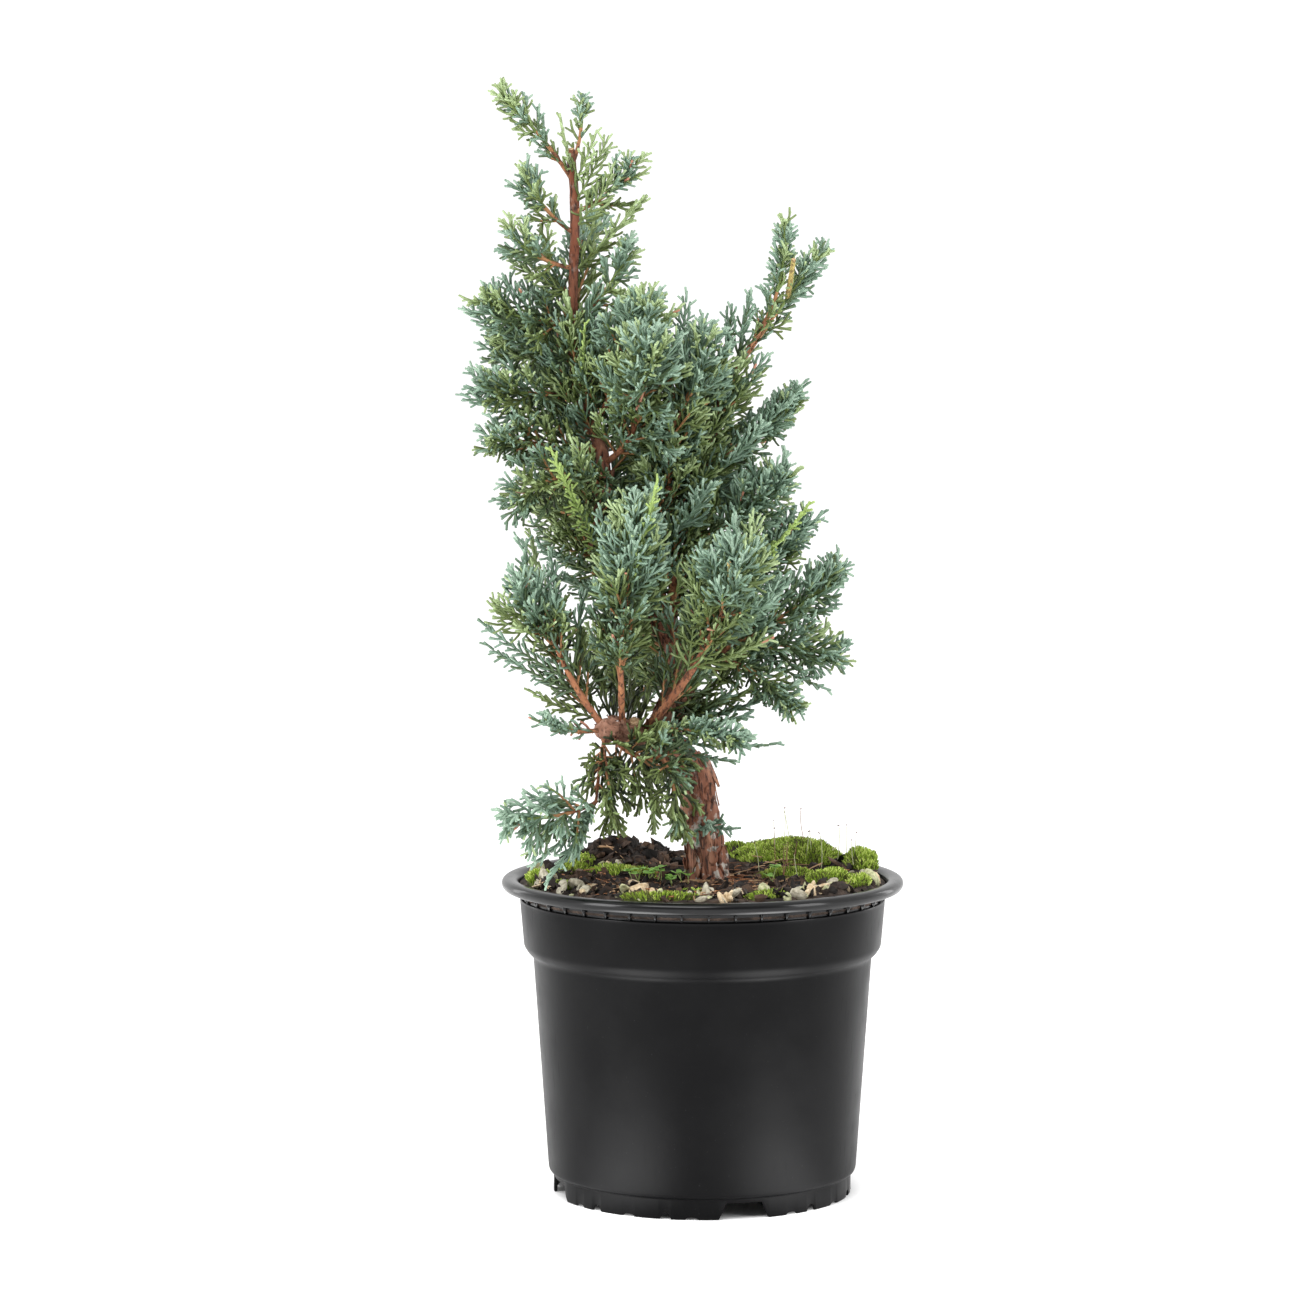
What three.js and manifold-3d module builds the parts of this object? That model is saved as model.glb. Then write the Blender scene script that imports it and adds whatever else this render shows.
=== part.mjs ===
// A young juniper trained as a spiral, in a round plastic nursery pot.
// Millimetres, +Z up. The origin is on the ground under the middle of the pot, and -Y is the front.
// Boughs and foliage are grown from the two tables below: every limb is one arc, and every mass of foliage is
// a stem with side twigs and toothed sprays that keep to the mass's own space.

import * as THREE from "three";
import { mergeVertices } from "three/addons/utils/BufferGeometryUtils.js";
import Module from "manifold-3d";

const wasm = await Module();
wasm.setup();

// ---------------------------------------------------------------- driving dimensions

const GAP = 0.3; // clearance between pieces that touch
const MERGE = 1e-4; // vertices closer than this are one
const DEGREE = Math.PI / 180;
const UP = new THREE.Vector3(0, 0, 1);

// Pot
const POT_HEIGHT = 150;
const RIM_RADIUS = 95;
const LIP_HEIGHT = 5.5;
const NECK_RADIUS = 85.2;
const COLLAR_TOP = { radius: 86.3, z: 140 };
const COLLAR_FOOT = { radius: 84.4, z: 117 };
const BODY_TOP = { radius: 80, z: 112.5 };
const BODY_FOOT = { radius: 73, z: 12 };
const WALL = 1.5;
const SKIRT_RADIUS = 70.5;
const SKIRT_HEIGHT = 9.3;
const FLOOR_UNDERSIDE = 8;
const FLOOR_TOP = 10;
const BOSS_RADIUS = 20;
const POT_SIDES = 36;
const DRAIN_ANGLE = 15.4; // degrees from the front towards +X, of the first of four drain notches
const DRAIN = { top: 17, foot: 24, height: 7.6 };

// Soil and moss
const SOIL_TOP = 146;
const SOIL_RIM_LIFT = 4;
const SOIL_RADIUS = 84;
const SOIL_SIDES = 20;
const SOIL_RINGS = [66, 46, 28, 14];
const SOIL_MOUNDS = [
  { x: -42, y: 60, height: 9.5, width: 16 },
  { x: 48, y: 56, height: 7.5, width: 20 },
  { x: 72, y: 16, height: 3.5, width: 9 },
];
const MOUND_FADE = [74, 85]; // radii between which a mound runs out, just inside the rim
const MOSS = { x: 46, y: 54, length: 36, width: 23, height: 19, turn: -38, sides: 12, rings: 4 };

// Trunk: the middle line leans from place to place and winds about that lean
const TRUNK_TOP = 491;
const TRUNK_LEAN = [
  { z: 146, x: 3.6 },
  { z: 200, x: -4 },
  { z: 215, x: -12 },
  { z: 372, x: -58 },
  { z: 491, x: -62 },
];
const COIL = { radius: 12, from: 195, full: 222, easing: 300, spent: 385, left: 1.2 };
const COIL_PHASE = 225; // degrees, at the height below
const COIL_PHASE_HEIGHT = 215;
const COIL_RATE = 3.4; // degrees for each millimetre of height
const TRUNK_GIRTH = [
  { z: 146, r: 8.6 },
  { z: 195, r: 8.8 },
  { z: 215, r: 7.4 },
  { z: 270, r: 4.8 },
  { z: 330, r: 3.3 },
  { z: 400, r: 2.5 },
  { z: 491, r: 2.0 },
];
const ROOT_FLARE = { extra: 1.8, fade: 5 };
const TRUNK = { sides: 8, steps: 34 };
const PRUNED_LIMB = { sides: 8, steps: 8 };
const BOUGH = { sides: 5, steps: 3 };

// Every bough: what it grows from, where on it (0 its root, 1 its tip, on the trunk a height), its heading
// and rise in degrees, its length, how far its middle arches up, and its radius at root and tip.
const BOUGHS = table(["on", "at", "heading", "rise", "length", "arch", "root", "tip"], {
  pruned_limb: ["trunk", 213, -135, 13, 44, 2, 7.6, 8.2],
  bough_front_left: ["pruned_limb", 0.9, -155, 58, 49, -2, 1.7, 1.1],
  bough_front_middle: ["pruned_limb", 0.66, -92, 62, 49, -2, 1.7, 1.2],
  bough_front_right: ["pruned_limb", 0.4, -42, 48, 69, -3, 2.2, 1.4],
  twig_hanging: ["pruned_limb", 0.88, -28, -22, 30, -5, 1.1, 0.9],
  twig_rim: ["pruned_limb", 0.9, -106, -63, 35, 2, 1.0, 0.7],
  limb_left: ["trunk", 352, -160, 5, 34, -2, 1.6, 1.2],
  limb_left_under: ["trunk", 338, -128, 3, 24, -2, 1.5, 1.1],
  limb_centre_top: ["trunk", 362, -49, 58, 36, -3, 1.5, 1.1],
  limb_centre: ["trunk", 345, -45, 47, 35, -4, 1.6, 1.2],
  limb_centre_right: ["trunk", 268, -81, 73, 98, 5, 1.9, 1.2],
  limb_spire: ["trunk", 262, -9, 76, 136, 9, 2.4, 1.3],
  limb_right_low: ["trunk", 248, -7, 32, 34, -3, 2.2, 1.5],
  limb_back_low: ["trunk", 236, 93, 12, 58, -4, 2.2, 1.3],
  limb_back_middle: ["trunk", 285, 65, 34, 54, -4, 1.9, 1.2],
  limb_back_top: ["trunk", 362, 85, 36, 44, -3, 1.5, 1.0],
});
const KNOB = { from: 0.84, rounding: 0.62 }; // the pruned limb's round end, shares of its length and radius

// Every mass of foliage: carrier, place, heading, rise, length and arch as above, then how far its sprays
// spread from its stem, and its habit.
const FOLIAGE = table(["on", "at", "heading", "rise", "length", "arch", "spread", "habit"], {
  crown_left: ["trunk", 476, -167, 51, 59, 3, 9, "open"],
  crown_tip: ["trunk", 484, 26, 79, 35, -2, 8, "open"],
  crown_right: ["trunk", 462, -15, 43, 42, -3, 13, "open"],
  crown_left_upper: ["trunk", 452, -163, 49, 38, -3, 12, "open"],
  crown_left_middle: ["trunk", 436, -146, 28, 43, -3, 14, "dense"],
  crown_right_middle: ["trunk", 424, -29, 37, 45, -4, 14, "dense"],
  left_upper: ["trunk", 410, -167, 18, 49, -3, 15, "dense"],
  left_middle: ["trunk", 396, 161, 5, 46, -3, 15, "dense"],
  left_wide: ["trunk", 380, -162, 3, 54, -3, 16, "dense"],
  left_low: ["limb_left", 1, -137, 4, 27, 0, 12, "open"],
  left_under: ["limb_left_under", 1, -150, -22, 39, 3, 16, "dense"],
  centre_top: ["limb_centre_top", 1, -50, 54, 44, -3, 17, "dense"],
  centre_front: ["limb_centre", 1, -83, 45, 43, -4, 20, "dense"],
  centre_right: ["limb_centre_right", 1, -22, 72, 54, -2, 20, "dense"],
  spire: ["limb_spire", 1, 0, 73, 69, -2, 10, "open"],
  spire_side: ["limb_spire", 0.9, 4, 53, 83, -6, 9, "open"],
  right_upper: ["limb_spire", 0.62, 1, 33, 59, -5, 16, "dense"],
  right_middle: ["limb_spire", 0.34, -21, 31, 67, -6, 19, "dense"],
  right_wide: ["limb_spire", 0.12, 9, 31, 80, -6, 18, "dense"],
  right_reach: ["limb_right_low", 1, 18, 31, 61, -5, 16, "dense"],
  right_low: ["limb_right_low", 0.8, 0, -7, 54, 2, 16, "dense"],
  right_hanging: ["limb_right_low", 0.5, -24, -31, 51, 5, 13, "open"],
  front_right: ["bough_front_right", 1, -57, 62, 40, -2, 19, "dense"],
  front_middle: ["bough_front_middle", 1, -47, 78, 65, 0, 18, "dense"],
  front_left: ["bough_front_left", 1, -170, 59, 45, -4, 21, "dense"],
  front_low_left: ["pruned_limb", 1, -150, 26, 45, -4, 11, "open"],
  hanging_left: ["twig_rim", 0.3, -38, -62, 46, 5, 13, "open"],
  hanging_right: ["twig_hanging", 1, -29, -66, 43, 4, 13, "open"],
  rim_spray: ["twig_rim", 1, -151, 1, 49, -5, 16, "dense"],
  low_right: ["pruned_limb", 0.45, -35, -1, 72, 4, 12, "open"],
  back_crown: ["trunk", 444, 76, 20, 50, -4, 16, "back"],
  back_upper_left: ["limb_back_top", 0.6, 121, 30, 63, -4, 19, "back"],
  back_upper_right: ["limb_back_top", 1, 52, 40, 51, -4, 19, "back"],
  back_middle_left: ["trunk", 318, 104, 12, 76, -5, 19, "back"],
  back_middle: ["limb_back_middle", 0.6, 98, 51, 74, -5, 19, "back"],
  back_middle_right: ["limb_back_middle", 1, 31, 45, 54, -5, 18, "back"],
  back_low_left: ["limb_back_low", 0.6, 123, 14, 66, -4, 18, "back"],
  back_low_right: ["limb_back_low", 1, 41, 30, 53, -5, 18, "back"],
});

// A habit: the share of a mass's spread that its core fills, its side twigs with two sprays each, and its
// single sprays.
const HABITS = {
  dense: { core: 0.32, twigs: 0, sprays: 5 },
  back: { core: 0.32, twigs: 0, sprays: 4 },
  open: { core: 0, twigs: 1, sprays: 2 },
};

// Growth rule of a mass, in shares of its stem's length or of its spread
const STEM = { root: 1.4, tip: 1.15, sides: 3, steps: 2, overlap: 0.04 };
const CORE = { sides: 4, steps: 4, swell: [0, 0.9, 1, 0.6, 0], to: 0.9, slimmer: 0.75 };
const FIRST_SHOOT = 0.2;
const LAST_SHOOT = 0.84;
const GOLDEN_TURN = 137.5;
const SHOOT_LEAN = { root: 62, tip: 34 }; // degrees between a shoot and its stem
const SHOOT_LIFT = 0.18; // how far a shoot turns up to the light
const SIDE_LEAN = 38; // degrees between a twig and its second spray
const END_SPRAY = 0.42; // share of the stem that the last spray covers
const TWIG = { share: 0.6, radius: 1.15 };
const SPRAY = { thickness: 0.8, stalk: 0.8, valley: 0.36, aspect: 0.72, widest: 19, small: 27 };
const SPACE = { reach: 1.35, margin: 0.7, limb: 1.0 };
const TRIED_LENGTHS = [1, 0.8, 0.6]; // a spray that leaves its space is tried shorter, then skipped

// ---------------------------------------------------------------- small helpers

/** A table's rows as records, keyed by the names of its columns. */
function table(columns, rows) {
  const record = (values) => Object.fromEntries(columns.map((column, i) => [column, values[i]]));
  return Object.fromEntries(Object.entries(rows).map(([name, values]) => [name, record(values)]));
}

/** The same run of numbers from 0 to 1 for the same seed. */
function seeded(seed) {
  let state = Math.imul(seed + 1, 2654435761) >>> 0;
  return () => {
    state = (Math.imul(state, 1664525) + 1013904223) >>> 0;
    return state / 4294967296;
  };
}

function lerp(a, b, t) {
  return a + (b - a) * t;
}

function smoothstep(from, to, value) {
  const t = Math.min(1, Math.max(0, (value - from) / (to - from)));
  return t * t * (3 - 2 * t);
}

/** A value read off a list of { z, [key] } stations, straight between them. */
function readStations(stations, key, z) {
  const last = stations.length - 1;
  let i = 0;
  while (i < last - 1 && z > stations[i + 1].z) i += 1;
  const t = Math.min(1, Math.max(0, (z - stations[i].z) / (stations[i + 1].z - stations[i].z)));
  return lerp(stations[i][key], stations[i + 1][key], t);
}

function directionOf(heading, rise) {
  const flat = Math.cos(rise * DEGREE);
  return new THREE.Vector3(
    flat * Math.cos(heading * DEGREE),
    flat * Math.sin(heading * DEGREE),
    Math.sin(rise * DEGREE),
  );
}

/** A closed geometry as a solid, with faces that have shrunk to a line left out. */
function solidOf(geometry) {
  const bare = new THREE.BufferGeometry();
  bare.setAttribute("position", geometry.getAttribute("position").clone());
  if (geometry.index) bare.setIndex(geometry.index.clone());
  const merged = mergeVertices(bare, MERGE);
  const corners = merged.index.array;
  const kept = [];
  for (let i = 0; i < corners.length; i += 3) {
    const [a, b, c] = corners.slice(i, i + 3);
    if (a !== b && b !== c && c !== a) kept.push(a, b, c);
  }
  return new wasm.Manifold(
    new wasm.Mesh({
      numProp: 3,
      vertProperties: merged.attributes.position.array,
      triVerts: Uint32Array.from(kept),
    }),
  );
}

function geometryOf(solid) {
  const mesh = solid.getMesh();
  const geometry = new THREE.BufferGeometry();
  geometry.setAttribute("position", new THREE.BufferAttribute(mesh.vertProperties, 3));
  geometry.setIndex(new THREE.BufferAttribute(mesh.triVerts, 1));
  geometry.computeVertexNormals();
  return geometry;
}

/** The largest of a solid's separate bodies. */
function mainBody(solid) {
  return solid.decompose().reduce((best, body) => (body.volume() > best.volume() ? body : best));
}

/** Cross sections of a curve from one share of its length to another, turning as little as they can. */
function ringsAlong(curve, from, to, steps) {
  const rings = [];
  let across = null;
  for (let i = 0; i <= steps; i += 1) {
    const u = lerp(from, to, steps ? i / steps : 0);
    const along = curve.getTangentAt(u);
    const guide = across ?? (Math.abs(along.z) < 0.9 ? UP : new THREE.Vector3(1, 0, 0));
    across = guide.clone().addScaledVector(along, -guide.dot(along)).normalize();
    const side = new THREE.Vector3().crossVectors(along, across);
    rings.push({ u, centre: curve.getPointAt(u), along, across, side });
  }
  return rings;
}

/** A tapering round rod bent along a curve, its far end lengthened straight on by what goes beyond. */
function rodGeometry(curve, radiusAt, { from = 0, to = 1, sides, steps, beyond = 0 }) {
  const rod = new THREE.CylinderGeometry(1, 1, 1, sides, steps);
  const rings = ringsAlong(curve, from, to, steps);
  const positions = rod.getAttribute("position");
  const point = new THREE.Vector3();
  for (let i = 0; i < positions.count; i += 1) {
    const ring = rings[Math.round((positions.getY(i) + 0.5) * steps)];
    const radius = radiusAt(ring.u);
    point
      .copy(ring.centre)
      .addScaledVector(ring.across, positions.getX(i) * radius)
      .addScaledVector(ring.side, -positions.getZ(i) * radius)
      .addScaledVector(ring.along, ring.u === to ? beyond : 0);
    positions.setXYZ(i, point.x, point.y, point.z);
  }
  return rod;
}

// ---------------------------------------------------------------- pot

function potProfile() {
  const lipFoot = POT_HEIGHT - LIP_HEIGHT;
  return [
    [0, 0],
    [BOSS_RADIUS, 0],
    [BOSS_RADIUS, FLOOR_UNDERSIDE],
    [SKIRT_RADIUS - WALL, FLOOR_UNDERSIDE],
    [SKIRT_RADIUS - WALL, 0],
    [SKIRT_RADIUS, 0],
    [SKIRT_RADIUS, SKIRT_HEIGHT],
    [BODY_FOOT.radius, BODY_FOOT.z],
    [BODY_TOP.radius, BODY_TOP.z],
    [COLLAR_FOOT.radius, COLLAR_FOOT.z],
    [COLLAR_TOP.radius, COLLAR_TOP.z],
    [NECK_RADIUS, COLLAR_TOP.z],
    [NECK_RADIUS, lipFoot],
    [RIM_RADIUS - 1.2, lipFoot],
    [RIM_RADIUS, lipFoot + 2],
    [RIM_RADIUS - 0.7, POT_HEIGHT - 1],
    [RIM_RADIUS - 2.6, POT_HEIGHT],
    [RIM_RADIUS - 6.6, POT_HEIGHT],
    [RIM_RADIUS - 8, POT_HEIGHT - 1.5],
    [COLLAR_TOP.radius - WALL, COLLAR_TOP.z],
    [COLLAR_FOOT.radius - WALL, COLLAR_FOOT.z],
    [BODY_TOP.radius - WALL, BODY_TOP.z + 1],
    [BODY_FOOT.radius - WALL, BODY_FOOT.z],
    [BODY_FOOT.radius - WALL, FLOOR_TOP],
    [0, FLOOR_TOP],
  ];
}

/** A cutter for the foot skirt, drawn in the XZ plane and turned to an angle from the front. */
function skirtCutter(shape, angle) {
  const depth = 12;
  const cutter = new THREE.ExtrudeGeometry(shape, { depth, bevelEnabled: false });
  cutter.rotateX(Math.PI / 2); // the drawing's y becomes z, its depth runs to -Y
  cutter.translate(0, -SKIRT_RADIUS + depth / 2, 0);
  cutter.rotateZ(angle * DEGREE);
  return solidOf(cutter);
}

function buildPot() {
  const lathe = new THREE.LatheGeometry(
    potProfile().map(([r, z]) => new THREE.Vector2(r, z)),
    POT_SIDES,
  );
  lathe.rotateX(Math.PI / 2);
  let pot = solidOf(lathe);
  const drain = new THREE.Shape([
    new THREE.Vector2(-DRAIN.foot / 2, -1),
    new THREE.Vector2(DRAIN.foot / 2, -1),
    new THREE.Vector2(DRAIN.top / 2, DRAIN.height),
    new THREE.Vector2(-DRAIN.top / 2, DRAIN.height),
  ]);
  for (let quarter = 0; quarter < 4; quarter += 1) {
    pot = pot.subtract(skirtCutter(drain, DRAIN_ANGLE + quarter * 90));
  }
  return pot;
}

// ---------------------------------------------------------------- soil and moss

function soilHeight(x, y) {
  const r = Math.hypot(x, y);
  const fade = 1 - smoothstep(MOUND_FADE[0], MOUND_FADE[1], r);
  const mounds = SOIL_MOUNDS.reduce((sum, mound) => {
    const away = Math.hypot(x - mound.x, y - mound.y) / mound.width;
    return sum + mound.height * Math.exp(-0.5 * away * away);
  }, 0);
  return SOIL_TOP + SOIL_RIM_LIFT * (r / SOIL_RADIUS) ** 2 * smoothstep(14, 40, r) + mounds * fade;
}

/** The soil that fills the pot, clear of its wall, with an uneven top that is level under the trunk. */
function buildSoil() {
  const inside = WALL + 2 * GAP;
  const profile = [
    [0, FLOOR_TOP + GAP],
    [BODY_FOOT.radius - inside, FLOOR_TOP + GAP],
    [BODY_TOP.radius - inside, BODY_TOP.z + 2],
    [COLLAR_FOOT.radius - inside, COLLAR_FOOT.z + 1.5],
    [COLLAR_TOP.radius - inside, COLLAR_TOP.z],
    [SOIL_RADIUS, SOIL_TOP],
    ...SOIL_RINGS.map((r) => [r, SOIL_TOP]),
    [0, SOIL_TOP],
  ];
  const soil = new THREE.LatheGeometry(
    profile.map(([r, z]) => new THREE.Vector2(r, z)),
    SOIL_SIDES,
  );
  soil.rotateX(Math.PI / 2);
  const positions = soil.getAttribute("position");
  for (let i = 0; i < positions.count; i += 1) {
    if (positions.getZ(i) < SOIL_TOP - 1) continue;
    const lift = soilHeight(positions.getX(i), positions.getY(i));
    positions.setZ(i, lift);
  }
  return soil;
}

/** A low cushion of moss, its underside cut to the soil. */
function buildMoss(soil) {
  const dome = new THREE.SphereGeometry(1, MOSS.sides, MOSS.rings * 2);
  dome.rotateX(Math.PI / 2);
  dome.scale(MOSS.length, MOSS.width, MOSS.height);
  dome.rotateZ(MOSS.turn * DEGREE);
  dome.translate(MOSS.x, MOSS.y, SOIL_TOP);
  const raised = soil.clone().translate(0, 0, GAP);
  const bounds = new THREE.CylinderGeometry(SOIL_RADIUS - 0.5, SOIL_RADIUS - 0.5, 80, SOIL_SIDES);
  bounds.rotateX(Math.PI / 2);
  bounds.translate(0, 0, SOIL_TOP);
  return mainBody(solidOf(dome).intersect(solidOf(bounds)).subtract(solidOf(raised)));
}

// ---------------------------------------------------------------- trunk and boughs

class TrunkLine extends THREE.Curve {
  /** The middle of the trunk at a height. */
  atHeight(z, target = new THREE.Vector3()) {
    const lean = readStations(TRUNK_LEAN, "x", z);
    const eased = smoothstep(COIL.easing, COIL.spent, z);
    const radius = COIL.radius * smoothstep(COIL.from, COIL.full, z) * (1 - eased) + COIL.left * eased;
    const phase = (COIL_PHASE + COIL_RATE * (z - COIL_PHASE_HEIGHT)) * DEGREE;
    return target.set(lean + radius * Math.cos(phase), radius * Math.sin(phase), z);
  }

  getPoint(t, target) {
    return this.atHeight(lerp(SOIL_TOP + GAP, TRUNK_TOP, t), target);
  }
}

function trunkRadius(z) {
  const flare = ROOT_FLARE.extra * Math.exp(-(z - SOIL_TOP) / ROOT_FLARE.fade);
  return readStations(TRUNK_GIRTH, "r", z) + flare;
}

/** Points and radii along a limb, for measuring how near another piece comes. */
function samplesOf(curve, radiusAt, count) {
  return Array.from({ length: count + 1 }, (_, i) => ({
    point: curve.getPointAt(i / count),
    radius: radiusAt(i / count),
  }));
}

/** How far a point lies outside the surface of a sampled limb, or from its middle line. */
function clearanceTo(samples, point, fromMiddle = false) {
  const span = new THREE.Vector3();
  const away = new THREE.Vector3();
  let nearest = Infinity;
  for (let i = 1; i < samples.length; i += 1) {
    const a = samples[i - 1];
    const b = samples[i];
    span.subVectors(b.point, a.point);
    away.subVectors(point, a.point);
    const t = Math.min(1, Math.max(0, away.dot(span) / span.lengthSq()));
    const radius = fromMiddle ? 0 : lerp(a.radius, b.radius, t);
    nearest = Math.min(nearest, away.addScaledVector(span, -t).length() - radius);
  }
  return nearest;
}

/** One arc of a limb: it leaves a point at a heading and rise, and its middle is pushed up by the arch. */
function arcFrom(start, { heading, rise, length, arch }) {
  const direction = directionOf(heading, rise);
  const upward = directionOf(heading, rise + 90);
  const end = start.clone().addScaledVector(direction, length);
  const bend = start.clone().addScaledVector(direction, length / 2).addScaledVector(upward, 2 * arch);
  return new THREE.QuadraticBezierCurve3(start, bend, end);
}

/** A solid whose foot is hollowed to its carrier, where that is stout. */
function seat(solid, cutter) {
  return cutter ? mainBody(solid.subtract(cutter)) : solid;
}

/** The corners of a rod's cross section. */
function cornersOf({ centre, across, side }, radius, sides) {
  return Array.from({ length: sides }, (_, i) => {
    const angle = (i / sides) * 2 * Math.PI;
    return centre
      .clone()
      .addScaledVector(across, radius * Math.sin(angle))
      .addScaledVector(side, -radius * Math.cos(angle));
  });
}

/** The first share of a curve at which a rod's end is clear of the carrier's surface. */
function clearStart(curve, radius, sides, carrier) {
  const step = 0.15 / curve.getLength();
  for (let u = 0; u < 0.9; u += step) {
    const [ring] = ringsAlong(curve, u, u, 0);
    const ends = [ring.centre, ...cornersOf(ring, radius, sides)];
    if (ends.every((point) => clearanceTo(carrier.samples, point) >= GAP)) return u;
  }
  throw new Error("a limb never clears its carrier");
}

/**
 * A limb's curve, the share of it at which it is clear of its carrier, and where the carrier is stout, the
 * cutter that hollows the limb's foot to the carrier's faces.
 */
function placeLimb(row, rootRadius, sides, limbs) {
  const carrier = limbs[row.on];
  if (row.at === 1) {
    const along = carrier.curve.getTangentAt(1);
    const tilt = Math.sqrt(Math.max(0, 1 - along.dot(directionOf(row.heading, row.rise)) ** 2));
    const tip = carrier.curve.getPointAt(1);
    const start = tip.addScaledVector(along, GAP + rootRadius * tilt);
    return { curve: arcFrom(start, row), from: 0 };
  }
  const isTrunk = row.on === "trunk";
  const start = isTrunk ? carrier.curve.atHeight(row.at) : carrier.curve.getPointAt(row.at);
  const curve = arcFrom(start, row);
  return { curve, from: clearStart(curve, rootRadius, sides, carrier), cutter: carrier.cutter };
}

function layTrunk() {
  const curve = new TrunkLine();
  const radiusAt = (u) => trunkRadius(curve.getPointAt(u).z);
  const trunk = { curve, radiusAt, samples: samplesOf(curve, radiusAt, 120) };
  return { ...trunk, cutter: buildTrunk(trunk, GAP) };
}

function layBoughs(trunk) {
  const limbs = { trunk };
  for (const [name, row] of Object.entries(BOUGHS)) {
    const isPruned = name === "pruned_limb";
    const radiusAt = (u) => {
      const past = isPruned ? Math.max(0, (u - KNOB.from) / (1 - KNOB.from)) : 0;
      return lerp(row.root, row.tip, u) * Math.sqrt(1 - KNOB.rounding * past * past);
    };
    const shape = isPruned ? PRUNED_LIMB : BOUGH;
    const limb = { radiusAt, shape, ...placeLimb(row, row.root, shape.sides, limbs) };
    const solid = buildBough(limb);
    const cutter = isPruned ? buildBough(limb, GAP) : null;
    limbs[name] = { ...limb, solid, cutter, samples: samplesOf(limb.curve, radiusAt, 16) };
  }
  return limbs;
}

function buildTrunk(trunk, grow = 0) {
  const rod = rodGeometry(trunk.curve, (u) => trunk.radiusAt(u) + grow, { ...TRUNK, beyond: grow });
  const foot = SOIL_TOP + GAP;
  const positions = rod.getAttribute("position");
  const firstRing = trunk.curve.getPointAt(1 / TRUNK.steps).z;
  for (let i = 0; i < positions.count; i += 1) {
    if (positions.getZ(i) < (foot + firstRing) / 2) positions.setZ(i, foot);
  }
  return solidOf(rod);
}

/** A bough, or the cutter for what grows from it when it is given a margin. */
function buildBough({ curve, radiusAt, shape, from, cutter }, grow = 0) {
  const stretch = { ...shape, from: cutter ? 0 : from, beyond: grow };
  const rod = rodGeometry(curve, (u) => radiusAt(u) + grow, stretch);
  return seat(solidOf(rod), cutter);
}

// ---------------------------------------------------------------- foliage

/** The outline of a flat spray that points along +X: a blade with forward teeth on both sides. */
function sprayShape(length, width, teeth) {
  const half = SPRAY.stalk / 2;
  const tooth = (i, side) => {
    const valley = length * (0.04 + (0.66 * (i + 1)) / teeth);
    const reach = (width / 2) * (1 - 0.3 * (i / teeth));
    return [
      [valley + length * 0.06, side * reach],
      [valley, side * reach * SPRAY.valley],
    ];
  };
  const right = Array.from({ length: teeth }, (_, i) => tooth(i, -1)).flat();
  const left = Array.from({ length: teeth }, (_, i) => tooth(i, 1)).flat().reverse();
  const outline = [[0, -half], ...right, [length, 0], ...left, [0, half]];
  return outline.map(([x, y]) => new THREE.Vector2(x, y));
}

/** A spray set with its root at a point: its solid, and the places that must keep to the mass's space. */
function placeSpray(root, direction, faceTurn, length, teeth) {
  const width = Math.min(length * SPRAY.aspect, SPRAY.widest);
  const outline = sprayShape(length, width, teeth);
  const guide = Math.abs(direction.z) < 0.95 ? UP : new THREE.Vector3(1, 0, 0);
  const across = new THREE.Vector3().crossVectors(guide, direction).normalize();
  across.applyAxisAngle(direction, faceTurn);
  const normal = new THREE.Vector3().crossVectors(direction, across);
  const place = new THREE.Matrix4().makeBasis(direction, across, normal);
  place.setPosition(root);
  const build = () => {
    const thickness = { depth: SPRAY.thickness, bevelEnabled: false };
    const blade = new THREE.ExtrudeGeometry(new THREE.Shape(outline), thickness);
    blade.translate(0, 0, -SPRAY.thickness / 2);
    return solidOf(blade.applyMatrix4(place));
  };
  const edges = outline.slice(1, -1).map(({ x, y }) => new THREE.Vector3(x, y, 0).applyMatrix4(place));
  const spine = [0.35, 0.6, 0.8, 1].map((t) => root.clone().addScaledVector(direction, length * t));
  return { build, places: [...edges, ...spine] };
}

/** True where a point is a mass's own: within its reach, nearer to it than to any other, off every limb. */
function isOwn(name, point, masses, limbs) {
  const mass = masses[name];
  const own = clearanceTo(mass.samples, point, true);
  if (own > mass.row.spread * SPACE.reach) return false;
  const overPot = Math.hypot(point.x, point.y) < RIM_RADIUS + 2;
  if (overPot && point.z < Math.max(POT_HEIGHT, soilHeight(point.x, point.y)) + 1.5) return false;
  for (const limb of Object.values(limbs)) {
    if (clearanceTo(limb.samples, point) < SPACE.limb) return false;
  }
  const share = (own + SPACE.margin) / mass.row.spread;
  return Object.entries(masses).every(
    ([other, { samples, row }]) =>
      other === name || (clearanceTo(samples, point, true) - SPACE.margin) / row.spread > share,
  );
}

function layFoliage(limbs) {
  const masses = {};
  for (const [name, row] of Object.entries(FOLIAGE)) {
    const { sides } = HABITS[row.habit].core ? CORE : STEM;
    const place = placeLimb(row, STEM.root, sides, limbs);
    const radiusAt = (u) => lerp(STEM.root, STEM.tip, u);
    masses[name] = { row, ...place, radiusAt, samples: samplesOf(place.curve, radiusAt, 10) };
  }
  return masses;
}

/** The stem of a dense mass, swollen into a core as far as the mass's own space allows. */
function buildCore(curve, start, radiusAt, fullSwell, fits) {
  const rings = ringsAlong(curve, start, CORE.to, CORE.steps);
  const radii = rings.map((ring, i) => {
    const stem = radiusAt(ring.u);
    let swell = fullSwell * CORE.swell[i];
    while (swell > 1 && !fits(cornersOf(ring, stem + swell, CORE.sides))) swell *= CORE.slimmer;
    return stem + (swell > 1 ? swell : 0);
  });
  const coreRadius = (u) => radii[Math.round(((u - start) / (CORE.to - start)) * CORE.steps)];
  return solidOf(rodGeometry(curve, coreRadius, { ...CORE, from: start }));
}

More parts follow.
